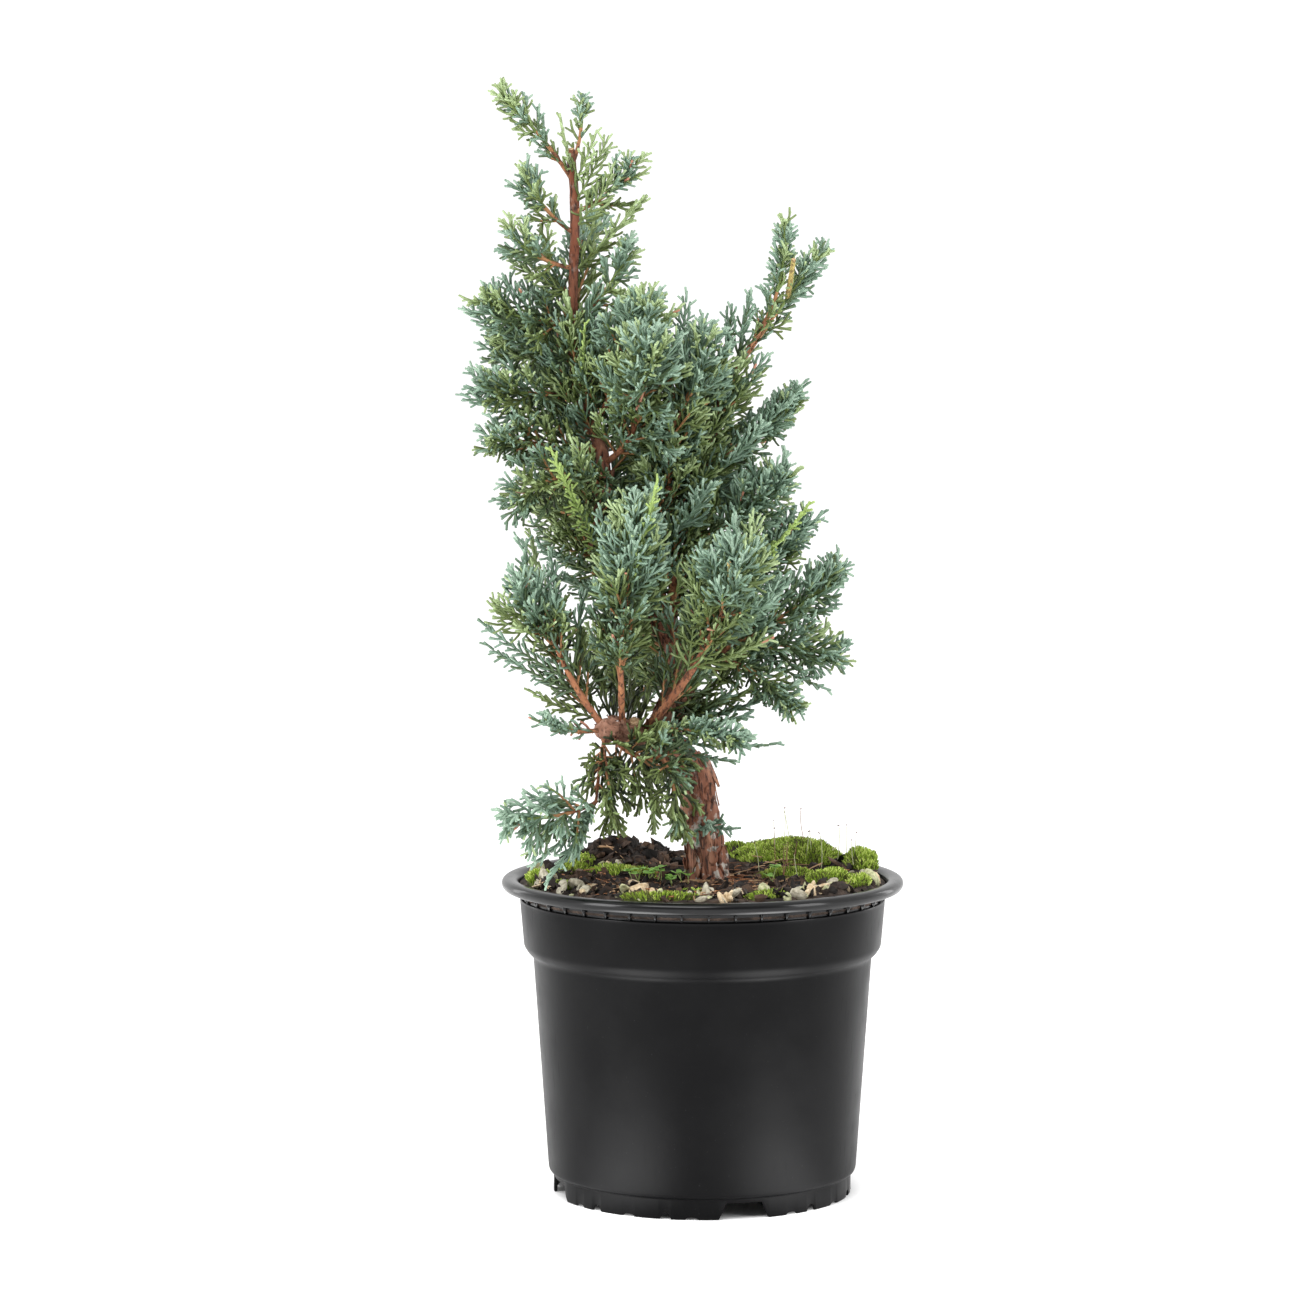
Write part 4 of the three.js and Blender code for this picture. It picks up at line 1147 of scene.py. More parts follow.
def make_pebbles(settings):
    """River gravel on the soil."""
    shape = Shape()
    lumps = [lump(seed, 0.28, 2) for seed in range(5)]
    dice = Dice(SEEDS["pebbles"])
    scatter(shape, dice, settings.pebbles, PEBBLE_SPOTS, (2.8, 9.5), (0.5, 0.8), lumps, 3, 0.0)
    finishes = [
        pebble_finish("beige_gravel", (0.74, 0.61, 0.41), (0.42, 0.29, 0.16)),
        pebble_finish("grey_gravel", (0.54, 0.5, 0.39), (0.26, 0.23, 0.16)),
        pebble_finish("green_gravel", (0.58, 0.58, 0.34), (0.25, 0.26, 0.13)),
    ]
    return shape.piece("gravel", finishes, "soil")


def make_litter(settings):
    """Dead orange needles and bits of twig that have fallen on the soil."""
    shape = Shape()
    dice = Dice(SEEDS["litter"])
    straws = Rods(3)
    for _ in range(settings.litter):
        x, y = strewn(dice, LITTER_SPOTS)
        if math.hypot(x, y) > SOIL_RADIUS - 4:
            continue
        length, heading = dice(3, 15), dice(0, 2 * math.pi)
        ends = [
            (x + k * length * math.cos(heading), y + k * length * math.sin(heading))
            for k in (-0.5, 0.5)
        ]
        if max(math.hypot(*end) for end in ends) > SOIL_RADIUS:
            continue
        start, end = (np.array([*xy, crumbly(*xy) + dice(1.2, 3.2)]) for xy in ends)
        bend = (start + end) / 2 + np.array([dice(-1, 1), dice(-1, 1), dice(0, 1.2)])
        straws.add(start, bend, end, dice(0.25, 0.5), 0.2, int(dice(0, 3)))
    straws.into(shape)
    finishes = [
        plain("dead_needle", (0.36, 0.15, 0.06), 0.7),
        plain("dry_needle", (0.5, 0.31, 0.17), 0.7),
        plain("dead_twig", (0.12, 0.06, 0.035), 0.8),
    ]
    return shape.piece("dead_needles", finishes, "bark")


# Cushions of moss: x, y, half length, half width, turn in degrees, height above the soil and share of
# bright tufts
MOSS_CUSHIONS = [
    (44, 54, 33, 21, -38, 3.4, 0.7),
    (52, 40, 14, 12, -30, 5.5, 0.7),
    (77, 18, 9, 10, 20, 8, 0.9),
    (59, -22, 14, 9, 40, 6.5, 0.8),
    (40, 6, 16, 8, -20, 4, 0.6),
    (-36, 20, 18, 6, -12, 3.2, 0.8),
    (-76, -16, 9, 7, 60, 4, 0.9),
    (-64, -40, 12, 4, -50, 2.5, 0.7),
    (-20, -76, 20, 3.6, 10, 2.2, 0.45),
    (32, -69, 14, 3.6, 24, 2.2, 0.45),
    (-60, 30, 16, 7, 70, 3.2, 0.7),
    (20, 74, 20, 6, -16, 4, 0.7),
    (-4, -52, 9, 4, 10, 2.0, 0.7),
    (72, -30, 8, 5, 60, 3.6, 0.8),
]


def moss_height(cushion, along, across):
    """How far a cushion stands above the soil, at a place given in shares of its half length and width."""
    x, y, length, width, _, height, _ = cushion
    away = min(1, math.hypot(along, across))
    place = Vector((along * length * 0.13 + x, across * width * 0.13 + y, 0))
    lumpy = 1 + 0.4 * noise.noise(place)
    return height * (1 - away**3.2) * lumpy


def moss_place(cushion, along, across):
    """The place on a cushion's surface, kept inside the pot's wall."""
    x0, y0, length, width, turn = cushion[:5]
    cosine, sine = math.cos(math.radians(turn)), math.sin(math.radians(turn))
    x = x0 + along * length * cosine - across * width * sine
    y = y0 + along * length * sine + across * width * cosine
    far = math.hypot(x, y)
    if far > SOIL_RADIUS:
        x, y = x * SOIL_RADIUS / far, y * SOIL_RADIUS / far
    return np.array([x, y, ground_height(x, y) + moss_height(cushion, along, across)])


def make_moss(settings):
    """Low cushions, each a bed with tufts that lean outwards."""
    shape = Shape()
    tufts = Rods(2)
    dice = Dice(SEEDS["moss"])
    angles = circle(40)
    shares = [0.01, 0.2, 0.4, 0.6, 0.75, 0.88, 1.0]
    for cushion in MOSS_CUSHIONS:
        x0, y0, length, width, _, _, bright = cushion
        dome = []
        for share in shares:
            ring = [moss_place(cushion, share * math.cos(a), share * math.sin(a)) for a in angles]
            dome.append(np.array(ring) - UP * (0 if share < 1 else 2))  # the edge goes down into the soil
        shape.add(np.array(dome)[::-1], grid_faces(len(shares), len(angles)), 0)
        for _ in range(int(settings.tuft_density * length * width)):
            away, angle = math.sqrt(dice()), dice(0, 2 * math.pi)
            root = moss_place(cushion, away * math.cos(angle), away * math.sin(angle))
            outward = np.array([root[0] - x0, root[1] - y0, 0]) / max(length, width)
            lean = unit(UP + outward * 0.9 + np.array([dice(-0.5, 0.5), dice(-0.5, 0.5), 0]))
            tall = dice(1.0, 2.6)
            patch = noise.noise(Vector((root[0] * 0.16, root[1] * 0.16, 7)))
            tone = 1 + (dice() < bright + patch * 0.6) + (dice() < bright * 0.4 + patch * 0.5)
            tufts.add(root - lean * 0.4, root + lean * tall * 0.5, root + lean * tall, 0.3, 0.2, tone)
    tufts.into(shape)
    finishes = [
        moss_finish("moss_bed", (0.09, 0.12, 0.014), (0.03, 0.03, 0.008)),
        plain("moss_brown", (0.09, 0.1, 0.016), 0.9),
        plain("moss_green", (0.22, 0.33, 0.024), 0.85),
        plain("moss_bright", (0.54, 0.65, 0.14), 0.85),
    ]
    return shape.piece("moss_cushions", finishes, "moss", ["moss"])


def add_leaflet(shape, tip, outward, finish):
    """A round leaflet at a stalk's tip, closed above and below."""
    across = across_of(outward)
    ring = [tip + outward * (1.7 + 1.6 * math.cos(a)) + across * 1.35 * math.sin(a) for a in circle(10)]
    top = [[0, i, i + 1] for i in range(1, 9)]
    shape.add(ring + [point - UP * 0.25 for point in ring], grid_faces(2, 10), finish)
    shape.add(ring, top, finish)
    shape.add(ring, [face[::-1] for face in top], finish)


def make_seedlings(settings):
    """Moss stalks with their capsules, and a few clover seedlings."""
    shape = Shape()
    dice = Dice(SEEDS["seedlings"])
    stalks = Rods(5)
    capsules = Rods(3, sides=4)
    for _ in range(settings.stalks):
        x, y = dice(26, 80), dice(-6, 74)
        if math.hypot(x, y) > SOIL_RADIUS - 4:
            continue
        foot = np.array([x, y, ground_height(x, y) + 3])
        tip = foot + np.array([dice(-3, 3), dice(-3, 3), dice(10, 17)])
        bend = (foot + tip) / 2 + np.array([dice(-1.5, 1.5), dice(-1.5, 1.5), 1])
        stalks.add(foot, bend, tip, 0.22, 0.16, int(dice(0, 1.5)))
        nod = tip + np.array([dice(-1, 1), dice(-1, 1), 0.3])
        capsules.add(tip, (tip + nod) / 2, nod, 0.3, 0.22, 2)
    for x, y in SEEDLINGS:
        for _ in range(3):
            heading = dice(0, 360)
            foot = np.array([x + dice(-2, 2), y + dice(-2, 2), crumbly(x, y)])
            tip = foot + direction_of(heading, 62) * dice(5, 10)
            stalks.add(foot, (foot + tip) / 2, tip, 0.3, 0.22, 3)
            for leaf in range(3):
                add_leaflet(shape, tip, direction_of(heading + leaf * 120, dice(5, 30)), 4)
    stalks.into(shape)
    capsules.into(shape)
    finishes = [
        plain("stalk_pale", (0.5, 0.52, 0.3), 0.5),
        plain("stalk_red", (0.26, 0.12, 0.06), 0.5),
        plain("capsule", (0.17, 0.07, 0.04), 0.5),
        plain("seedling_stem", (0.32, 0.42, 0.12), 0.5),
        plain("seedling_leaf", (0.33, 0.6, 0.13), 0.55),
    ]
    return shape.piece("seedlings", finishes, "moss")


# ---------------------------------------------------------------- wood


def bark_relief(places, grain, plates=1.0):
    """How far bark stands out at each place: long strips split by cracks, over fibres that wind about."""
    relief = np.empty(len(places))
    for i, (x, y, s) in enumerate(places):
        turn = s * 0.012
        x, y = x * math.cos(turn) - y * math.sin(turn), x * math.sin(turn) + y * math.cos(turn)
        fibres = noise.noise(Vector((x * 0.7, y * 0.7, s * 0.06)) * grain)
        fine = noise.noise(Vector((x * 2.1, y * 2.1, s * 0.3)) * grain)
        warp = 0.5 * noise.noise(Vector((x * 0.2, y * 0.2, s * 0.08)))
        nearest = noise.voronoi(Vector((x * 0.3 + warp, y * 0.3 + warp, s * 0.045)) * grain)[0]
        crack = min(1, (nearest[1] - nearest[0]) * 3.0)
        relief[i] = fibres * 0.75 + fine * 0.35 + (crack - 0.75) * 0.85 * plates
    return relief


def around(radii, heights):
    """Places on a straight rod with these rows of radii, one for each side, at these heights."""
    angles = circle(radii.shape[1])
    s = heights[:, None] * np.ones(len(angles))
    return np.stack([radii * np.cos(angles), radii * np.sin(angles), s], axis=-1).reshape(-1, 3)


def add_limb(shape, line, sides, pitch, depth, finish=0, bumps=(), plates=1.0, trim=None):
    """A limb with bark relief. bumps are swellings, and trim gives its thickness as a share of the line's."""
    shares = np.linspace(0, 1, max(6, int(line.length / pitch)) + 1)
    base = np.array([line.radius(u) * (trim(u) if trim else 1) for u in shares])[:, None] * np.ones(sides)
    for share, angle, height, width in bumps:
        turn = np.degrees(np.angle(np.exp(1j * (circle(sides) - math.radians(angle)))))
        away = (shares - share) * line.length / (width / BUMP_DEGREES)
        base += height * np.exp(-(away**2))[:, None] * np.exp(-((turn / width) ** 2))
    grain = 1.0 if line.radius(0.1) > 4 else 1.7
    relief = bark_relief(around(base, shares * line.length), grain, plates).reshape(base.shape)
    add_sweep(shape, line, shares, sides, base + relief * np.minimum(depth, base * 0.16), finish)


def add_disc(shape, centre, direction, radius, finish, dice, rings=5, sides=28):
    """A cut face: a disc with a slightly rough surface and a turned-down edge."""
    across = across_of(direction)
    side = np.cross(direction, across)
    rows = []
    for k in range(rings + 1):
        share = max(0.01, k / rings)
        row = []
        for angle in circle(sides):
            lift = dice(-0.08, 0.08) - (0.9 if k == rings else 0)
            row.append(centre + round_axis(across, side, angle) * radius * share + direction * lift)
        rows.append(row)
    shape.add(np.array(rows), grid_faces(rings + 1, sides), finish)


def add_flakes(shape, line, dice, count, reach, finish, heights=(7, 20), trim=1.0):
    """Loose plates of bark, each bent round the limb and lifted at one edge."""
    for _ in range(count):
        u = dice(*reach)
        centre, along, across, side = line.ring(u)
        radius = line.radius(u) * trim
        middle, half = dice(0, 360), dice(9, 24)
        tall, lifted = dice(*heights), dice(0.3, 1.7)
        rows = []
        for t in np.linspace(-0.5, 0.5, 5):
            row = []
            for k in np.linspace(-1, 1, 5):
                angle = math.radians(middle + k * half * (1 - 0.9 * (2 * abs(t)) ** 2.4) + t * tall * 0.7)
                out = radius + 0.35 + lifted * max(0, k) ** 2 + 0.35 * lifted * max(0, t)
                row.append(centre + round_axis(across, side, angle) * out + along * t * tall)
            rows.append(row)
        front = np.array(rows)
        inward = unit(centre - front.mean((0, 1))) * 0.3
        sheet = np.stack([front, front + inward])
        faces = grid_faces(5, 5, closed=False)
        rim = [0, 1, 2, 3, 4, 9, 14, 19, 24, 23, 22, 21, 20, 15, 10, 5]
        edge = [[a, b, b + 25, a + 25] for a, b in zip(rim, rim[1:] + rim[:1])]
        shape.add(sheet, np.vstack([faces[:, ::-1], faces + 25, edge]), finish)


def make_trunk(settings, limbs):
    """The trunk with loose bark on it, most of all low down, and a cut at its top."""
    shape = Shape()
    trunk = limbs["trunk"]
    dice = Dice(SEEDS["trunk"])
    add_limb(shape, trunk, 60, 0.85, settings.relief / MM, 0, TRUNK_BUMPS)
    add_flakes(shape, trunk, dice, settings.flakes, (0.02, 0.3), 0)
    add_flakes(shape, trunk, dice, settings.flakes // 3, (0.3, 0.8), 0)
    top = trunk.along(1)
    add_disc(shape, trunk.at(1) + top * 0.75, top, trunk.radius(1) * 0.98, 1, dice)
    finishes = [
        bark_finish(
            "trunk_bark",
            (0.37, 0.185, 0.115),
            (0.225, 0.085, 0.047),
            (0.035, 0.016, 0.012),
            lichen=(0.5, 0.47, 0.42),
            young=(0.19, 0.052, 0.024),
        ),
        cut_wood_finish(),
    ]
    return shape.piece("trunk_bark", finishes, "bark", ["trunk"])


def make_boughs(settings, limbs, stems):
    """The pruned limb with its knob and the stub on it, the other boughs, and the dried leaders."""
    shape = Shape()
    dice = Dice(SEEDS["boughs"])
    pruned = limbs["pruned_limb"]

    def slimmed(u):
        neck = math.exp(-(((u - KNOB_NECK["at"]) / KNOB_NECK["width"]) ** 2))
        return KNOB_TRIM - KNOB_NECK["depth"] * neck

    add_limb(shape, pruned, 64, 0.45, settings.relief / MM * 1.4, 0, KNOB_BUMPS, 0.9, slimmed)
    add_flakes(shape, pruned, dice, settings.flakes // 2, (0.45, 0.93), 0, (2.5, 6), KNOB_TRIM)
    out = direction_of(STUB["heading"], STUB["rise"])
    foot = pruned.at(STUB["at"]) + out * STUB["foot"]
    stub = Line([foot, foot + out * STUB["length"]], partial(lerp, *STUB["radii"]))
    add_limb(shape, stub, 30, 0.6, 0.6, 0)
    add_disc(shape, stub.at(1) + out * 1.5, out, STUB["cut"], 2, dice)
    for name in BOUGHS:
        if name != "pruned_limb":
            add_limb(shape, limbs[name], 20, 0.9, settings.relief / MM * 0.5, 1)
    for name, place, tip, radius in SNAGS:
        foot = {**limbs, **stems}[name].at(place)
        snag = Line([foot, tip], lambda u, radius=radius: radius * (1 - 0.25 * u))
        add_limb(shape, snag, 16, 0.9, 0.3, 3)
        add_disc(shape, snag.at(1) + snag.along(1) * 0.5, snag.along(1), radius * 0.74, 2, dice, 3, 14)
    finishes = [
        knob_finish(),
        bark_finish("bough_bark", (0.46, 0.2, 0.09), (0.28, 0.105, 0.05), (0.07, 0.028, 0.016),
                    fibre=(1, 1, 0.5)),
        cut_wood_finish(),
        bark_finish("snag_wood", (0.55, 0.47, 0.16), (0.38, 0.29, 0.09), (0.2, 0.13, 0.05),
                    fibre=(1, 1, 0.3)),
    ]
    return shape.piece("bough_bark", finishes, "bark", list(BOUGHS))


# ---------------------------------------------------------------- foliage

TONES = [
    "shade", "deep", "leaf", "sea", "glaucous", "silver",
    "dark_olive", "olive", "sage", "pale_sage", "fresh", "lime", "dead",
]
FRESH, DEAD = TONES.index("fresh"), TONES.index("dead")
SCALES = {  # six tones each, from the deepest to the palest; the deepest stand for painted shade as well as old leaves
    "blue": ["shade", "deep", "leaf", "sea", "glaucous", "silver"],
    "olive": ["shade", "dark_olive", "olive", "sage", "pale_sage", "fresh"],
    "lime": ["dark_olive", "olive", "sage", "lime", "lime", "lime"],
    "dry": ["dark_olive", "olive", "dead", "dead", "dead", "dead"],
}
PALETTES = {name: [TONES.index(tone) for tone in tones] for name, tones in SCALES.items()}
TWIG_BARK, TWIG_ORANGE, TWIG_GREEN = range(3)


class Grower:
    """Grows the twigs and sprays of one mass after another into the rods of a region."""

    def __init__(self, settings, stems, space):
        self.settings = settings
        self.stems = stems
        self.space = space
        self.thick = settings.branchlet / 2 / MM
        self.twigs = Shape()
        self.axes = Rods(4, sides=4)
        self.long = Rods(4, swell=0.07)
        self.short = Rods(2)

    def suit(self, slender, lift, olive, fresh, grace):
        """Takes on the ways of a mass: the length of its branchlets and how far they turn up, the shares of
        olive sprays and fresh tips, and how far it keeps out of its neighbours."""
        self.slender, self.lift, self.olive, self.fresh, self.grace = slender, lift, olive, fresh, grace

    def tones(self, level, dice):
        """The finishes of a branchlet and of its tip."""
        tone = int(np.clip(round(level + dice(-0.8, 0.8)), 0, 5))
        if dice() < self.settings.dead_share:
            return DEAD, DEAD
        if dice() < self.fresh:
            return self.palette[tone], FRESH
        return self.palette[tone], self.palette[min(5, tone + (dice() < 0.5))]

    def branchlet(self, root, direction, towards, length, thick, level, dice):
        """One branchlet, its tip turned a little towards the way its shoot grows."""
        rods = self.long if length > LONG_BRANCHLET else self.short
        bend = root + direction * length * BEND_AT
        end = root + unit(direction + towards * 0.35 + UP * self.lift) * length
        rods.add(root, bend, end, thick, thick * 0.88, *self.tones(level, dice))
        return bend, end

    def spray(self, name, root, direction, length, face, level, dice, woody):
        """A shoot with its branchlets on two sides, its tip turned up to the light."""
        for share in TRIED_LENGTHS:
            size = length * share * AXIS_SHARE
            end = root + unit(direction + UP * self.lift) * size
            bend = root + direction * size * BEND_AT
            probe = [lerp(root, bend, 0.9), lerp(bend, end, 0.5), end]
            if self.space.owns(name, probe, self.grace).all():
                break
        else:
            return
        self.palette = PALETTES["olive" if dice() < self.olive else "blue"]
        owns = partial(self.space.owns, name, grace=self.grace)
        self.feather(root, bend, end, face, level, dice, woody, owns)

    def feather(self, root, bend, end, face, level, dice, woody, owns):
        """The axis of a spray with its branchlets, which stay short where the place isn't theirs."""
        size = np.linalg.norm(end - root)
        direction = unit(bend - root)
        if woody == TWIG_GREEN:
            tones = self.tones(level - 0.4, dice)
            self.long.add(root, bend, end, self.thick * 0.85, self.thick * 0.9, *tones)
        else:
            self.axes.add(root, bend, end, 0.35 + 0.016 * size, 0.5, woody, TWIG_GREEN)
        across = turned_about(across_of(direction), direction, face)
        count = max(4, int(size / self.settings.spacing * MM))
        queue = []
        for k in range(count):
            t = lerp(0.06, 0.96, (k + dice(0.25, 0.75)) / count)
            along = unit(lerp(bend - root, end - bend, t))
            out = turned_about(across if k % 2 else -across, along, dice(-42, 42))
            lean = math.radians(lerp(*BRANCHLET_LEAN, t) + dice(-8, 8))
            way = leaning(along, out, lean, self.lift / 2)
            widest = min(size * BRANCHLET_REACH["share"], BRANCHLET_REACH["most"])
            reach = widest * (1 - BRANCHLET_REACH["taper"] * t) + BRANCHLET_REACH["least"]
            reach = reach * dice(0.75, 1.15) * self.slender
            # Deeper on the scale at a spray's root and paler at its tip: paler young tips, and painted shade
            # inside the mass.
            queue.append((bent(root, bend, end, t), way, along, reach, level + 1.9 * (t - 0.55)))
        queue.append((end - direction * 0.8, unit(end - bend), unit(end - bend), dice(4, 6.5), level + 0.8))
        keep = owns([place + way * reach for place, way, _, reach, _ in queue])
        for (place, way, along, reach, shade), kept in zip(queue, keep):
            self.twiglet(place, way, along, reach if kept else reach * CROWDED, shade, dice)

    def twiglet(self, place, way, along, reach, level, dice):
        """A branchlet, with shorter ones on it where it is long."""
        bend, end = self.branchlet(place, way, along, reach, self.thick * dice(0.9, 1.06), level, dice)
        forks = min(2, int(reach / FORK_PITCH))
        across = turned_about(across_of(way), way, dice(0, 180))
        for k in range(forks):
            t = lerp(0.22, 0.8, (k + dice(0.2, 0.8)) / forks)
            root = bent(place, bend, end, t)
            out = turned_about(across if k % 2 else -across, way, dice(-30, 30))
            fork = leaning(way, out, math.radians(dice(*FORK_LEAN)))
            size = (reach * 0.42 * (1.15 - t) + 2.5) * dice(0.85, 1.2)
            self.branchlet(root, fork, way, size, self.thick * dice(0.82, 0.98), level + 0.3, dice)

    def stem(self, name):
        """The twig in the middle of a mass, bark at its root and green at its tip."""
        stem = self.stems[name]
        sides = 8
        shares = np.linspace(0, 0.98, max(8, int(stem.length / 2.5)) + 1)
        radii = np.array([stem.radius(u) for u in shares])[:, None] * np.ones(sides) * 0.8
        relief = bark_relief(around(radii, shares * stem.length), 1.9).reshape(radii.shape) * 0.16
        green = np.where(shares[:-1] < 0.5, TWIG_ORANGE, TWIG_GREEN)
        wood = np.where(shares[:-1] < 0.3, TWIG_BARK, green)
        centres, _, acrosses, sideways = stem.rings(shares)
        grid = centres[:, None] + spokes(acrosses, sideways, sides) * (radii + relief)[..., None]
        self.twigs.add(grid, grid_faces(len(shares), sides), np.repeat(wood, sides))

    @staticmethod
    def bud(line, u, number, dice):
        """Where a numbered shoot leaves a line: the line's centre and course there, and the way it faces."""
        centre, along, across, side = line.ring(u)
        turn = math.radians(number * GOLDEN_TURN + dice() * 40)
        return centre, along, round_axis(across, side, turn)

    def leaves_on(self, line, pitch, level, dice):
        """Branchlets straight on a stem, which cover its wood."""
        self.palette = PALETTES["olive" if dice() < self.olive else "blue"]
        low, high = LEAFY
        count = int((high - low) * line.length / pitch)
        for i in range(count):
            u = lerp(low, high, (i + dice()) / count)
            centre, along, outward = self.bud(line, u, i, dice)
            way = leaning(along, outward, math.radians(dice(32, 58)), self.lift)
            root = centre + outward * line.radius(u) * 0.5
            self.twiglet(root, way, along, dice(*LEAF_REACH), level + 0.6 * u, dice)

    def mass(self, name, seed, level, slender, lift, olive, openness):
        """One mass: an end spray, branchlets along the stem, then shoots round it by the golden angle."""
        dice = Dice(seed)
        stem = self.stems[name]
        spread = FOLIAGE[name][6]
        self.suit(slender, lift, olive, 0.05, 0.8)
        self.stem(name)
        root = stem.at(1 - END_SPRAY)
        line = stem.at(1) - root
        self.spray(name, root, unit(line), np.linalg.norm(line), dice(0, 180), level + 0.5, dice, TWIG_GREEN)
        # The branchlets on the stem itself lie deep in the mass and take deeper tones: painted shade.
        self.leaves_on(stem, LEAF_PITCH * openness, level - 0.6, dice)
        count = int(stem.length / openness / self.settings.shoot_spacing * MM)
        for i in range(count):
            share = (i + 0.5) / count
            u = lerp(FIRST_SHOOT, LAST_SHOOT, share)
            centre, along, outward = self.bud(stem, u, i, dice)
            direction = leaning(along, outward, math.radians(lerp(*SHOOT_LEAN, share)), SHOOT_LIFT)
            length = spread * lerp(*SHOOT_LENGTH, share) * dice(0.9, 1.1)
            length *= 1 - TIP_SHORTENING * smoothstep(0.5, 1, share)
            # Shoots higher on the stem take paler tones, those that face up paler still and those that face
            # down deeper: painted light and shade, beside the paler young growth.
            shade = level + 1.3 * (share - 0.5) + 0.8 * direction[2] - 0.5
            woody = TWIG_ORANGE if share < 0.25 else TWIG_GREEN
            self.spray(name, centre, direction, length, dice(0, 180), shade, dice, woody)

    def shoot(self, line, place, tip, slender, palette, level, seed):
        """One shoot from a place on a limb or stem to its tip."""
        dice = Dice(seed)
        self.suit(slender, 0.1, 0, 0, 0)
        self.palette = PALETTES[palette]
        root = line.at(place)
        end = np.array(tip, float)
        size = np.linalg.norm(end - root)
        bend = lerp(root, end, 0.5) + np.array([0, -0.5, -0.85]) * size * 0.09
        self.feather(root, bend, end, dice(0, 180), level, dice, TWIG_GREEN, self.space.clear)

    def clothe(self, name, seed, limb):
        """Short sprays on a limb, all round it, but none in front of its bare lengths."""
        low, high, spread, level = CLOTHED[name]
        dice = Dice(seed)
        self.suit(1.15, 0.12, 0.5, 0.02, 0)
        if name == "trunk":
            low, high = share_at_height(limb, low), share_at_height(limb, high)
        count = int((high - low) * limb.length / self.settings.limb_spacing * MM)
        for i in range(count):
            share = (i + 0.5) / count
            u = lerp(low, high, share)
            centre, along, outward = self.bud(limb, u, i, dice)
            lean = math.radians(lerp(*CLOTHED_LEAN, share) + dice(-8, 8))
            direction = leaning(along, outward, lean, SHOOT_LIFT)
            bare = any(foot < centre[2] < top for foot, top in BARE_FRONT.get(name, ()))
            if bare and direction[1] < 0.25 * abs(direction[0]):
                continue
            root = centre + outward * limb.radius(u) * 0.6
            length = spread * CLOTHED_LENGTH * dice(0.75, 1.1)
            # Sprays higher on the limb and those that face up take paler tones: painted light, beside the
            # paler young growth.
            shade = level + 0.6 * share + 0.5 * direction[2]
            self.spray(name, root, direction, length, dice(0, 180), shade, dice, TWIG_ORANGE)

    def piece(self, name, finishes, nodes=()):
        """Joins the branchlets grown since the last piece into one."""
        shape = Shape()
        self.long.into(shape)
        self.short.into(shape)
        return shape.piece(name, finishes, "foliage", nodes)


def make_foliage(settings, limbs, stems):
    """The sprays of every region, those on the limbs, the shoots that stand out, and all their twigs."""
    grower = Grower(settings, stems, Space(limbs, stems))
    finishes = [plain(f"leaf_{name}", getattr(settings, name), settings.roughness) for name in TONES]
    seeds = {name: seed for seed, name in enumerate(FOLIAGE)}
    for region, (*ways, names) in REGIONS.items():
        for name in names:
            grower.mass(name, seeds[name], *ways)
        grower.piece(f"sprays_{region}", finishes, [f"foliage_{name}" for name in names])
    for seed, name in enumerate(CLOTHED, len(FOLIAGE)):
        grower.clothe(name, seed, limbs[name])
        if name == "trunk":
            grower.piece("sprays_on_trunk", finishes)
    grower.piece("sprays_on_limbs", finishes)
    lines = {**limbs, **stems}
    for seed, (name, place, *ways) in enumerate(SHOOTS, SEEDS["shoots"]):
        if name == "trunk":
            place = share_at_height(limbs["trunk"], place)
        grower.shoot(lines[name], place, *ways, seed)
    grower.piece("long_shoots", finishes)
    grower.axes.into(grower.twigs)
    twig_finishes = [
        bark_finish("twig_bark", (0.42, 0.19, 0.09), (0.25, 0.1, 0.05), (0.08, 0.035, 0.02), fibre=(1, 1, 1)),
        plain("twig_orange", (0.36, 0.17, 0.07), 0.7),
        plain("twig_green", settings.stem, 0.6),
    ]
    return grower.twigs.piece("twigs", twig_finishes, "bark")


# ---------------------------------------------------------------- stage


# The stage's own measures are in metres
FLOOR_HALF = 6
# Pools of glow on the floor in front of the pot, left and right: painted light, which the pot reflects as its
# low highlights.
PAINTED_LIGHT_POOLS = {"places": [(-0.088, -0.105, 0), (0.088, -0.105, 0)], "fade": (0.01, 0.08)}
PAINTED_SHADOW_UNDER_POT = (0.062, 0.078)  # between these radii the floor's glow sets in; inside them it is cut off, a painted shadow under and round the pot's foot
SOFT_BOXES = {  # place, size, which setting gives the power, and how many times that
    "key_light": ((-1.5, -0.85, 0.75), (0.6, 1.3), "key", 1.0),
    "fill_light": ((1.55, -0.8, 0.7), (0.6, 1.3), "key", 0.8),
    "top_light": ((-0.4, -1.1, 1.9), (1.2, 1.0), "key", 1.1),
    "left_strip": ((-1.1, 0.92, 0.4), (0.25, 0.8), "strip", 1.0),
    "right_strip": ((1.1, 0.92, 0.4), (0.25, 0.8), "strip", 1.0),
}
LIT_PLACE = Vector((0, 0, 0.25))


def grey(value):
    return (value,) * 3


def add_to_scene(name, content, place=(0, 0, 0), rotation=(0, 0, 0)):
    """An object of the stage with this mesh, lamp or camera."""
    made = bpy.data.objects.new(name, content)
    made.location = place
    made.rotation_euler = rotation
    bpy.context.scene.collection.objects.link(made)
    return made


